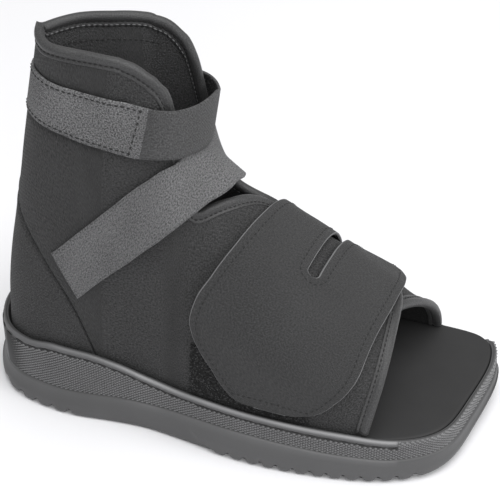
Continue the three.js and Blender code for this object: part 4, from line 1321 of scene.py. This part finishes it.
ROW_SMOOTH = 9


def smooth_row(values):
    """A row of numbers, each averaged with its neighbours, with both ends kept."""
    half = ROW_SMOOTH // 2
    before = 2 * values[0] - values[half:0:-1]
    after = 2 * values[-1] - values[-2 : -half - 2 : -1]
    kernel = np.hanning(ROW_SMOOTH + 2)[1:-1]
    return np.convolve(np.concatenate([before, values, after]), kernel / kernel.sum(), "valid")


def beside_edge(ways, shares, distance, height):
    """A line of points at a distance from an edge over the cloth, and at a height above it."""
    points, normals, inward = edge_frame(ways, shares)
    if distance <= 0:
        return points + inward * distance + normals * height, normals
    at_way, at_share = (smooth_row(row) for row in slide(ways, shares, inward, distance))
    away = form_normal(at_way, at_share)
    return on_form(at_way, at_share) + away * height, away


def tape_mesh(ways, shares):
    """Points, faces and UV of a tape folded over an edge."""
    turn = unit(np.gradient(TAPE_SECTION, axis=0))
    inside = TAPE_SECTION + np.stack([-turn[:, 1], turn[:, 0]], 1) * TAPE_THICK
    outer, inner = (
        np.stack([beside_edge(ways, shares, *spot)[0] for spot in section], 1)
        for section in (TAPE_SECTION, inside)
    )
    points, faces, source, _ = wall(outer[:, ::-1], inner[:, ::-1], bulge=0.12)
    return points, faces, grid_lengths(outer).reshape(-1, 2)[source]


# %% Edges that carry tape
TAPE_BACK = 22.0
COLLAR_TAPE_END = 24.0
RIM_CLEAR = 1.0
TAPE_STEPS = {"rise": 40, "corner": 16, "straight": 10}


def collar_edge():
    ways = upper_ways[(np.abs(upper_ways) <= HEEL_ARC) | (foot_x(upper_ways) < COLLAR_TAPE_END)]
    return ways, top_share(ways)


def vamp_edge(outer):
    """Up the front edge of the vamp from the sole. The near one also turns its corner and runs back."""
    front = (OUTER_FRONT if outer else INNER_FRONT)["x"]
    way = float(way_at(front, outer))
    low = float(share_at(section_at(np.array(way), 0.0), rim_at(front) + RIM_CLEAR))
    rising = np.linspace(low, float(top_share(np.array(way))), TAPE_STEPS["rise"])
    if not outer:
        return np.full(len(rising), way), rising[::-1]
    corner = front - CORNER_LENGTH * (1 - np.cos(np.linspace(0, np.pi / 2, TAPE_STEPS["corner"])))[1:]
    straight = np.linspace(front - CORNER_LENGTH, front - TAPE_BACK, TAPE_STEPS["straight"])[1:]
    top_ways = way_at(np.concatenate([corner, straight]), outer)
    ways = np.concatenate([np.full(len(rising), way), top_ways])
    return ways, np.concatenate([rising, top_share(top_ways)])


TAPES = [
    {"name": "collar_tape", "node": "collar_binding", "edge": collar_edge()},
    {"name": "near_vamp_tape", "node": "near_vamp_binding", "edge": vamp_edge(True)},
    {"name": "far_vamp_tape", "node": "far_vamp_binding", "edge": vamp_edge(False)},
]
for row in TAPES:
    points, faces, uv = tape_mesh(*row["edge"])
    tape_piece = add_piece(row["name"], points, faces, [cloths["binding_tape"]], uv=uv)
    finish_piece(tape_piece, "tape", row["node"])
    tape_length = float(np.linalg.norm(np.diff(on_form(*row["edge"]), axis=0), axis=1).sum())

# %% [markdown]
# The loop patch
#
# Under the flap a patch of fuzzy loop cloth is sewn to the outer side, and the flap's hooks hold on to it.
# A flat dark sheet would look painted on. So Geometry Nodes scatters small bent threads over it, with a
# fixed seed, and every thread is a short three-sided tube.

# %% Patch and its pile
PATCH = {"rear": -18.0, "front": 55.0, "high": 0.225, "thick": 1.0, "lift": 0.35}
PATCH_COLUMNS, PATCH_ROWS = 60, 20
PILE_THREADS = {"density": 900000.0, "seed": 7, "width": 1.1, "height": 0.9, "thread": 0.09}
patch_x = np.linspace(PATCH["front"], PATCH["rear"], PATCH_COLUMNS)[:, None]
patch_section = foot_section(patch_x, np.ones_like(patch_x, bool))
patch_low = share_at(patch_section, rim_at(patch_x) + RIM_CLEAR)
patch_share = patch_low + (PATCH["high"] - patch_low) * np.linspace(0, 1, PATCH_ROWS)[None, :]
patch_grid = point_on(patch_section, patch_share)
patch_normals = grid_normals(patch_grid)
patch_bottom = patch_grid + patch_normals * PATCH["lift"]
patch_top = patch_bottom + patch_normals * PATCH["thick"]
points, faces, source, _ = wall(patch_top, patch_bottom, bulge=0.2)
patch_uv = grid_lengths(patch_top).reshape(-1, 2)
patch_piece = add_piece("loop_patch_base", points, faces, [patch_pile], uv=patch_uv[source])
finish_piece(patch_piece, "loop", "loop_patch")


# %% A tree for the pile
PILE_TILT = 0.5


def pile_tree():
    sizes = {"Width": "Float", "Height": "Float", "Thread": "Float"}
    inputs = {"Density": "Float", "Seed": "Int", **sizes, "Material": "Material"}
    tree, given, result = geometry_tree("Pile threads", inputs)
    spread = {"Mesh": given["Mesh"], "Density": given["Density"], "Seed": given["Seed"]}
    scatter = add_node(tree, "GeometryNodeDistributePointsOnFaces", spread).outputs
    ends = [calculate(tree, "MULTIPLY", given["Width"], side) for side in (-0.5, 0.5)]
    left, right = (add_node(tree, "ShaderNodeCombineXYZ", {0: end}).outputs[0] for end in ends)
    rise = calculate(tree, "MULTIPLY", given["Height"], 2.0)
    high = add_node(tree, "ShaderNodeCombineXYZ", {2: rise}).outputs[0]
    bent = {"Resolution": 4, "Start": left, "Middle": high, "End": right}
    loop = add_node(tree, "GeometryNodeCurveQuadraticBezier", bent).outputs[0]
    ring = {"Resolution": 3, "Radius": given["Thread"]}
    profile = add_node(tree, "GeometryNodeCurvePrimitiveCircle", ring).outputs[0]
    swept = {"Curve": loop, "Profile Curve": profile, "Fill Caps": True}
    tube = add_node(tree, "GeometryNodeCurveToMesh", swept).outputs[0]
    spin = add_node(
        tree,
        "FunctionNodeRandomValue",
        {0: (-PILE_TILT, -PILE_TILT, -math.pi), 1: (PILE_TILT, PILE_TILT, math.pi), "Seed": given["Seed"]},
        data_type="FLOAT_VECTOR",
    ).outputs[0]
    turn = {0: scatter["Rotation"], 1: spin}
    turned = add_node(tree, "FunctionNodeRotateRotation", turn, rotation_space="LOCAL").outputs[0]
    return end_tree(
        tree, result, given["Material"], Points=scatter["Points"], Instance=tube, Rotation=turned
    )


patch_count = patch_top.shape[0] * patch_top.shape[1]
top_faces = [face for face in faces if max(face) < patch_count]
pile_piece = add_piece("loop_patch_pile", patch_top.reshape(-1, 3), top_faces, [patch_pile])
bake_piece(
    pile_piece,
    pile_tree(),
    {
        "Density": PILE_THREADS["density"],
        "Seed": PILE_THREADS["seed"],
        "Width": PILE_THREADS["width"] * MM,
        "Height": PILE_THREADS["height"] * MM,
        "Thread": PILE_THREADS["thread"] * MM,
        "Material": dark_thread,
    },
)
finish_piece(pile_piece, "loop")

# %% [markdown]
# The forefoot flap
#
# One large flap is sewn to the far side, folds over the forefoot and closes on the patch. A narrow slot with
# a round end lets it bend. The flap is a grid over the same sections as the boot, a little above them. Its
# slot is a strip of cells that is left open, and the strip narrows along a circle to give the round end.

# %% Tables of the flap
FLAP = {"thick": 2.0, "lift": 2.2, "cells": 22, "far_drop": 3.0, "front_rise": 2.2, "trim": 0.006}
FLAP_FAR = (1.12, 1.4)
FLAP_CREST = {"rise": (0.6, 0.95), "fall": (1.05, 1.3), "front": (45, 75)}
FLAP_WAVES = 0.6
FLAP_ENDS = (0.075, 1.9)
SLOT = {"start": 0.785, "round": 0.03, "rear": 40.2, "width": 6.6, "drift": 14.0, "runout": 0.09}
SLOT_LEAST = 0.04
SLOT_STEPS = 9
ROUNDING = 1e-9
SLOT_FAN = {"from": 1.28, "to": 1.6, "widening": 16.0}
flap_rear_at = smooth_table(
    [
        (0.075, 24), (0.08, 17.5), (0.09, 12), (0.105, 8.4), (0.125, 5), (0.15, 1.2), (0.18, -2.5),
        (0.225, -10), (0.27, -16), (0.31, -18.6), (0.38, -16.4), (0.52, -7.6), (0.73, 3), (1, 11),
        (1.3, 16), (1.9, 20),
    ]
)
flap_front_at = smooth_table(
    [
        (0.075, 42), (0.08, 46.5), (0.09, 51.5), (0.105, 56.5), (0.13, 61.5), (0.16, 65.5),
        (0.2, 68.9), (0.24, 72.2), (0.275, 74.4), (0.32, 76.7), (0.38, 78.9), (0.45, 80.4),
        (0.52, 81.2), (0.62, 82.4), (0.73, 83.8), (0.85, 85.4), (1, 87.2), (1.2, 88.8), (1.3, 88.4),
        (1.42, 84), (1.6, 77), (1.9, 74),
    ]
)
slot_curve = SLOT["start"] + SLOT["round"] * (1 - np.cos(np.linspace(0, np.pi / 2, SLOT_STEPS)))
FLAP_SPANS = [(0.0757, 0.12, 8), (0.12, 0.34, 23), (0.34, SLOT["start"], 31)]
FLAP_BEND = 1.35
BEND_STEPS, END_STEPS = 36, 24
flap_shares = np.concatenate(
    [
        FLAP_ENDS[:1],
        *(np.linspace(*span)[:-1] for span in FLAP_SPANS),
        slot_curve[:-1],
        np.linspace(slot_curve[-1], FLAP_BEND, BEND_STEPS)[:-1],
        np.linspace(FLAP_BEND, FLAP_ENDS[1], END_STEPS),
    ]
)


# %% The slot
def slot_half_width(share):
    """Half the slot's width: full, then round at its end, then fanned out again in the whole cloth below."""
    to_centre = np.clip((SLOT["start"] + SLOT["round"] - share) / SLOT["round"], 0, 1)
    round_end = np.maximum(np.sqrt(1 - to_centre**2), SLOT_LEAST)
    below = np.clip((SLOT["start"] - share) / SLOT["runout"], 0, 1)
    half = SLOT["width"] / 2 * np.where(share < SLOT["start"], np.maximum(below, SLOT_LEAST), round_end)
    return half + slot_fan(share)


def slot_fan(share):
    """Beyond the crest the slot's rear edge swings back and opens the slot."""
    return SLOT_FAN["widening"] / 2 * (np.clip(share, SLOT_FAN["from"], SLOT_FAN["to"]) - SLOT_FAN["from"])


def slot_middle(share):
    straight = SLOT["rear"] + SLOT["width"] / 2 + SLOT["drift"] * (share - SLOT["start"])
    return straight - slot_fan(share)


def flap_rows(share):
    inner_steps = np.linspace(4 * FLAP["trim"], 1 - 4 * FLAP["trim"], FLAP["cells"] - 4)
    steps = np.concatenate([[0, FLAP["trim"]], inner_steps, [1 - FLAP["trim"], 1]])
    half, middle = slot_half_width(share), slot_middle(share)
    rear, front = flap_rear_at(share), flap_front_at(share)
    return np.concatenate([blend(rear, middle - half, steps), blend(middle + half, front, steps)])


# %% The flap's mesh
flap_x = np.array([flap_rows(share) for share in flap_shares])
flap_form = point_on(foot_section(flap_x, np.ones_like(flap_x, bool)), flap_shares[:, None])
flap_normals = grid_normals(flap_form)


def flap_lift_at(shares, points):
    """The flap stands off the near vamp, most at its front crest, and comes down to the far one."""
    drop = FLAP["far_drop"] * eased(*FLAP_FAR, shares) * underlap_at(points[..., 0]) / UNDERLAP["sink"]
    crest = eased(*FLAP_CREST["rise"], shares) * (1 - eased(*FLAP_CREST["fall"], shares))
    rise = FLAP["front_rise"] * crest * eased(*FLAP_CREST["front"], points[..., 0])
    return FLAP["lift"] - drop + rise + FLAP_WAVES * soft_waves(points)


flap_lift = flap_lift_at(flap_shares[:, None], flap_form)
flap_inner = flap_form + flap_normals * flap_lift[..., None]
flap_outer = flap_inner + flap_normals * FLAP["thick"]
slot_cells = np.zeros((len(flap_shares) - 1, flap_x.shape[1] - 1), bool)
is_slotted = flap_shares[:-1] >= SLOT["start"] - ROUNDING
slot_cells[is_slotted, FLAP["cells"] - 1] = True
trim_cells = np.zeros_like(slot_cells)
trim_cells[0] = True
trim_cells[:, [0, -1]] = True
trim_cells[np.ix_(is_slotted, [FLAP["cells"] - 2, FLAP["cells"]])] = True
points, faces, source, is_edge = wall(flap_outer, flap_inner, bulge=0.35, is_open=slot_cells)
flap_uv = grid_lengths(flap_outer).reshape(-1, 2)
trim = trim_cells[~slot_cells]
is_pale = is_edge.copy()
is_pale[: len(trim)] |= trim
flap_looks = [cloths["flap_cloth"], cut_edge]
flap_piece = add_piece(
    "forefoot_flap_cloth", points, faces, flap_looks, uv=flap_uv[source], face_material=is_pale
)
finish_piece(flap_piece, "flap", "forefoot_flap")

# %% [markdown]
# The straps
#
# Two flat webs cross at the front of the ankle. The upper one is sewn round the back of the shaft, and its
# sewn part is faced with loop pile. The webs are too stiff and flat to need a simulation: each is a row of
# lines across the web, and every line starts from the form at an angle round the ankle and stands off it.

# %% Points round the ankle
STRAP_THICK = 1.6
SEARCH_REACH = 160.0
SEARCH_STEPS = 30


def is_inside(x, y, z):
    angle = np.arctan2(y - ANKLE_Y, x - ANKLE_X) % (2 * np.pi)
    foot, heel = foot_section(x, np.ones_like(x, bool)), heel_section(angle)
    section = [np.where(x >= ANKLE_X, f, h) for f, h in zip(foot, heel)]
    start_x, start_y, middle_x, middle_y, crest, roundness = section
    height = np.clip((z - FORM_FOOT) / (crest - FORM_FOOT), 0, 1)
    half = np.hypot(start_x - middle_x, start_y - middle_y) * (1 - height**roundness) ** (1 / roundness)
    return (z < crest) & (np.hypot(x - middle_x, y - middle_y) < half)


def around_ankle(angle, z, lift):
    across, ahead = np.sin(np.radians(angle)), np.cos(np.radians(angle))
    inside, outside = np.zeros_like(z), np.full_like(z, SEARCH_REACH)
    for _ in range(SEARCH_STEPS):
        reach = (inside + outside) / 2
        within = is_inside(ANKLE_X + ahead * reach, ANKLE_Y + across * reach, z)
        inside, outside = np.where(within, reach, inside), np.where(within, outside, reach)
    x = ANKLE_X + ahead * (outside + lift)
    y = ANKLE_Y + across * (outside + lift)
    return np.stack([x, y + lean(x, z), z], -1)


# %% The two webs
STRAP_LINES = 12
STRAP_ACROSS = 15
INSTEP_STRAP = [
    (-124, 88.8, 0.5, -140, 115.9, 0.5),
    (-113, 100, 0.8, -126, 133.1, 0.5),
    (-98, 112, 1.6, -110, 147.2, 0.5),
    (-84, 122, 2.4, -95, 158, 0.5),
    (-65, 138, 3.6, -70, 174.3, 1),
    (-48, 151, 5, -51, 184.4, 1.6),
    (-21, 157, 5.5, -22, 186.3, -1.7),
    (-1, 157.8, 5.6, -3, 183, -4.2),
    (12, 154, 6, 12, 179.4, -6.4),
    (24, 149, 4.6, 24, 176, -7.1),
    (42, 143, 2.6, 42, 172, 0.2),
    (62, 136, 2, 66, 172, 1.8),
    (84, 120, 0.8, 95, 156, 0.8),
    (112, 101, 0.6, 124, 136, 0.6),
    (122, 90, 0.6, 136, 117, 0.6),
]


def from_ankle(points):
    x, y, z = np.moveaxis(points, -1, 0)
    return np.hypot(x - ANKLE_X, y - lean(x, z) - ANKLE_Y)


def strap_grid(rows):
    """Points of a web by its own steps, and across from its lower edge, pulled straight over hollows."""
    steps = np.arange(len(rows))
    reads = [smooth_table(list(zip(steps, column))) for column in zip(*rows)]
    step = np.linspace(0, len(rows) - 1, (len(rows) - 1) * STRAP_LINES + 1)[:, None]
    across = np.linspace(0, 1, STRAP_ACROSS)[None, :]
    angle, z, lift = (blend(reads[k](step), reads[k + 3](step), across) for k in range(3))
    laid = around_ankle(angle, z, lift)
    pulled = blend(laid[:, :1], laid[:, -1:], across[..., None])
    is_hollow = from_ankle(pulled) > from_ankle(laid)
    return np.where(is_hollow[..., None], pulled, laid), step[:, 0]


def strap_piece(name, rows, node, web, pile_until=0):
    """One strap, faced with pile up to a step. Returns its outer grid and the directions away from it."""
    grid, steps = strap_grid(rows)
    normals = -grid_normals(grid)
    outer = grid + normals * STRAP_THICK
    points, faces, source, is_edge = wall(outer[::-1], grid[::-1], bulge=0.25)
    column = source.reshape(-1) // STRAP_ACROSS
    face_step = np.array([steps[::-1][column[face]].mean() for face in faces])
    shown = np.where(face_step < pile_until, 1, 0)
    front_count = (len(outer) - 1) * (STRAP_ACROSS - 1)
    is_back = (np.arange(len(faces)) >= front_count) & ~is_edge
    shown = np.where(is_back, 2, shown)
    uv = grid_lengths(outer[::-1]).reshape(-1, 2)[source]
    looks = [cloths[web], cloths["strap_pile"], patch_pile]
    piece = add_piece(name, points, faces, looks, uv=uv, face_material=shown)
    finish_piece(piece, "webbing", node)
    return outer, normals


CROSS_STITCH_STEP = 6.95
PILE_STEP = CROSS_STITCH_STEP + 0.35
ankle_outer, ankle_normals = strap_piece("ankle_web", ANKLE_STRAP, "ankle_strap", "ankle_web", PILE_STEP)
strap_piece("instep_web", INSTEP_STRAP, "instep_strap", "instep_web")

# %% [markdown]
# Stitching
#
# Stitches follow lines: along the tapes, round the flap and its slot, along the sewn web and in the groove
# of the sole. One tree serves them all. It turns a line into a curve, measures it off in equal steps and
# lays a small long bead of thread at each step, turned along the line and away from the cloth.


# %% A tree for a row of stitches
def stitch_tree():
    inputs = {"Pitch": "Float", "Length": "Float", "Thread": "Float", "Material": "Material"}
    tree, given, result = geometry_tree("Stitch row", inputs)
    line = add_node(tree, "GeometryNodeMeshToCurve", {"Mesh": given["Mesh"]}).outputs[0]
    steps = {"Curve": line, "Length": given["Pitch"]}
    even = add_node(tree, "GeometryNodeResampleCurve", steps, mode="LENGTH").outputs[0]
    bead = add_node(tree, "GeometryNodeMeshUVSphere", {"Segments": 6, "Rings": 4, "Radius": 1.0}).outputs[0]
    half_length = calculate(tree, "MULTIPLY", given["Length"], 0.5)
    radii = {0: half_length, 1: given["Thread"], 2: given["Thread"]}
    size = add_node(tree, "ShaderNodeCombineXYZ", radii).outputs[0]
    stitch = add_node(tree, "GeometryNodeTransform", {"Geometry": bead, "Scale": size}).outputs[0]
    tangent = tree.nodes.new("GeometryNodeInputTangent").outputs[0]
    return end_tree(
        tree, result, given["Material"], Points=even, Instance=stitch, Rotation=facing(tree, tangent)
    )


STITCH_TREE = stitch_tree()


def stitch_rows(name, lines, slot, pitch, length, thread, material):
    """One piece of stitching from lines of points, each with the direction away from the cloth."""
    points = np.concatenate([line for line, _ in lines])
    away = np.concatenate([normals for _, normals in lines])
    edges, start = [], 0
    for line, _ in lines:
        edges += [(start + k, start + k + 1) for k in range(len(line) - 1)]
        start += len(line)
    values = {"Pitch": pitch * MM, "Length": length * MM, "Thread": thread * MM, "Material": material}
    finish_piece(bake_tree(name, points, edges, STITCH_TREE, values, away=away), slot)


# %% Stitches on the tapes
TAPE_STITCH = {"pitch": 3.1, "length": 2.3, "thread": 0.38}
# Each line lies at a distance from the edge and at a height above the form. Inside the boot it is negative.
OUTSIDE_LINE = (4.6, 0.4)
# The crease lines are dark thread that paints shade in the creases of the tape inside the collar.
CREASE_SHADE_LINES = [(4.1, -3.2), (7.3, -3.2)]
INSIDE_LINE = (5.6, -3.9)
FACING = {"drop": 17.0, "depth": 3.1, "reach": 0.9, "steps": 160}
collar_ways = np.linspace(-HEEL_ARC * FACING["reach"], HEEL_ARC, FACING["steps"])
tape_lines = [beside_edge(*row["edge"], *OUTSIDE_LINE) for row in TAPES]
tape_lines += [beside_edge(*TAPES[0]["edge"], *line) for line in CREASE_SHADE_LINES]
stitch_rows("tape_stitches", tape_lines, "tape", **TAPE_STITCH, material=dark_thread)
inside_line = beside_edge(*TAPES[0]["edge"], *INSIDE_LINE)
stitch_rows("inside_tape_stitches", [inside_line], "tape", **TAPE_STITCH, material=pale_thread)
facing_share = share_at(section_at(collar_ways, 0.0), collar_at(collar_ways) - FACING["drop"])
facing_away = form_normal(collar_ways, facing_share)
facing_line = (on_form(collar_ways, facing_share) - facing_away * FACING["depth"], facing_away)
stitch_rows("facing_stitches", [facing_line], "cloth", **TAPE_STITCH, material=dark_thread)


# %% Stitches on the flap
FLAP_STITCH = {"pitch": 3.4, "length": 2.0, "thread": 0.36}
STITCH_INSET = 4.2
STITCH_HEIGHT = 0.05
FLAP_LINE = {"low": 0.115, "bottom": 0.113, "high": 1.88, "steps": 160, "bottom_steps": 40}
SLOT_LINE = {"gap": 4.0, "turn_steps": 24, "steps": 90}


def flap_line(shares, xs):
    """A line of points on the flap's outer face, with the directions away from it."""
    outer = np.ones_like(xs, bool)
    place = point_on(foot_section(xs, outer), shares)
    nudge = point_on(foot_section(xs + WAY_STEP, outer), shares) - place
    rise = point_on(foot_section(xs, outer), shares + SHARE_STEP) - place
    away = unit(np.cross(nudge, rise))
    height = flap_lift_at(shares, place) + FLAP["thick"] + STITCH_HEIGHT
    return place + away * height[:, None], away


around_flap = np.linspace(FLAP_LINE["low"], FLAP_LINE["high"], FLAP_LINE["steps"])
rear_line = flap_line(around_flap[::-1], flap_rear_at(around_flap[::-1]) + STITCH_INSET)
front_line = flap_line(around_flap, flap_front_at(around_flap) - STITCH_INSET)
bottom_rear = flap_rear_at(FLAP_LINE["low"]) + STITCH_INSET
bottom_front = flap_front_at(FLAP_LINE["low"]) - STITCH_INSET
bottom_x = np.linspace(bottom_rear, bottom_front, FLAP_LINE["bottom_steps"])
bottom_line = flap_line(np.full(len(bottom_x), FLAP_LINE["bottom"]), bottom_x)
slot_turn = np.linspace(0, np.pi, SLOT_LINE["turn_steps"])
slot_reach = SLOT["width"] / 2 + SLOT_LINE["gap"]
slot_centre = SLOT["start"] + SLOT["round"]
slot_up = np.linspace(slot_centre, FLAP_LINE["high"], SLOT_LINE["steps"])
slot_end_share = slot_centre - SLOT["round"] / (SLOT["width"] / 2) * slot_reach * np.sin(slot_turn)
slot_shares = np.concatenate([slot_up[::-1], slot_end_share, slot_up])
slot_side = np.full(SLOT_LINE["steps"], slot_reach)
slot_offsets = np.concatenate([-slot_side, -slot_reach * np.cos(slot_turn), slot_side])
slot_spread = 1 + slot_fan(slot_shares) / slot_reach
slot_line = flap_line(slot_shares, slot_middle(slot_shares) + slot_offsets * slot_spread)
flap_lines = [rear_line, front_line, bottom_line, slot_line]
stitch_rows("flap_stitches", flap_lines, "flap", **FLAP_STITCH, material=dark_thread)

# %% Stitches on the ankle web
WEB_STITCH = {"pitch": 3.4, "length": 2.6, "thread": 0.5}
web_end = int(CROSS_STITCH_STEP * STRAP_LINES)
sewn = slice(web_end + 1)
web_lines = [(ankle_outer[sewn, k], ankle_normals[sewn, k]) for k in (1, STRAP_ACROSS - 2)]
web_lines.append((ankle_outer[web_end, 1:-1], ankle_normals[web_end, 1:-1]))
stitch_rows("web_stitches", web_lines, "webbing", **WEB_STITCH, material=dark_thread)

# %% Stitches in the groove of the sole
SOLE_STITCH = {"pitch": 9.5, "length": 6.4, "thread": 0.4}
GROOVE_ROW = {"base": "rim", "rise": -4.05, "inset": 1.7, "heel": 0.9}
GROOVE_SPACING = 2.0
groove_x, groove_outer = outline_positions(GROOVE_SPACING)
groove_ring = (groove_x, *outline_at(groove_x, groove_outer))
groove_z, groove_inset = sole_row(GROOVE_ROW, groove_x, groove_outer)
groove_place = ring_points(groove_ring, groove_inset, groove_z)
groove_away = np.stack([-groove_ring[2], -groove_ring[3], np.zeros(len(groove_x))], -1)
in_groove = groove_x < RIB_END[0]
groove_sides = [np.flatnonzero(in_groove & side) for side in (~groove_outer, groove_outer)]
groove_order = np.concatenate(groove_sides)
stitch_rows(
    "sole_stitches",
    [(groove_place[groove_order], groove_away[groove_order])],
    "rubber",
    **SOLE_STITCH,
    material=dark_thread,
)
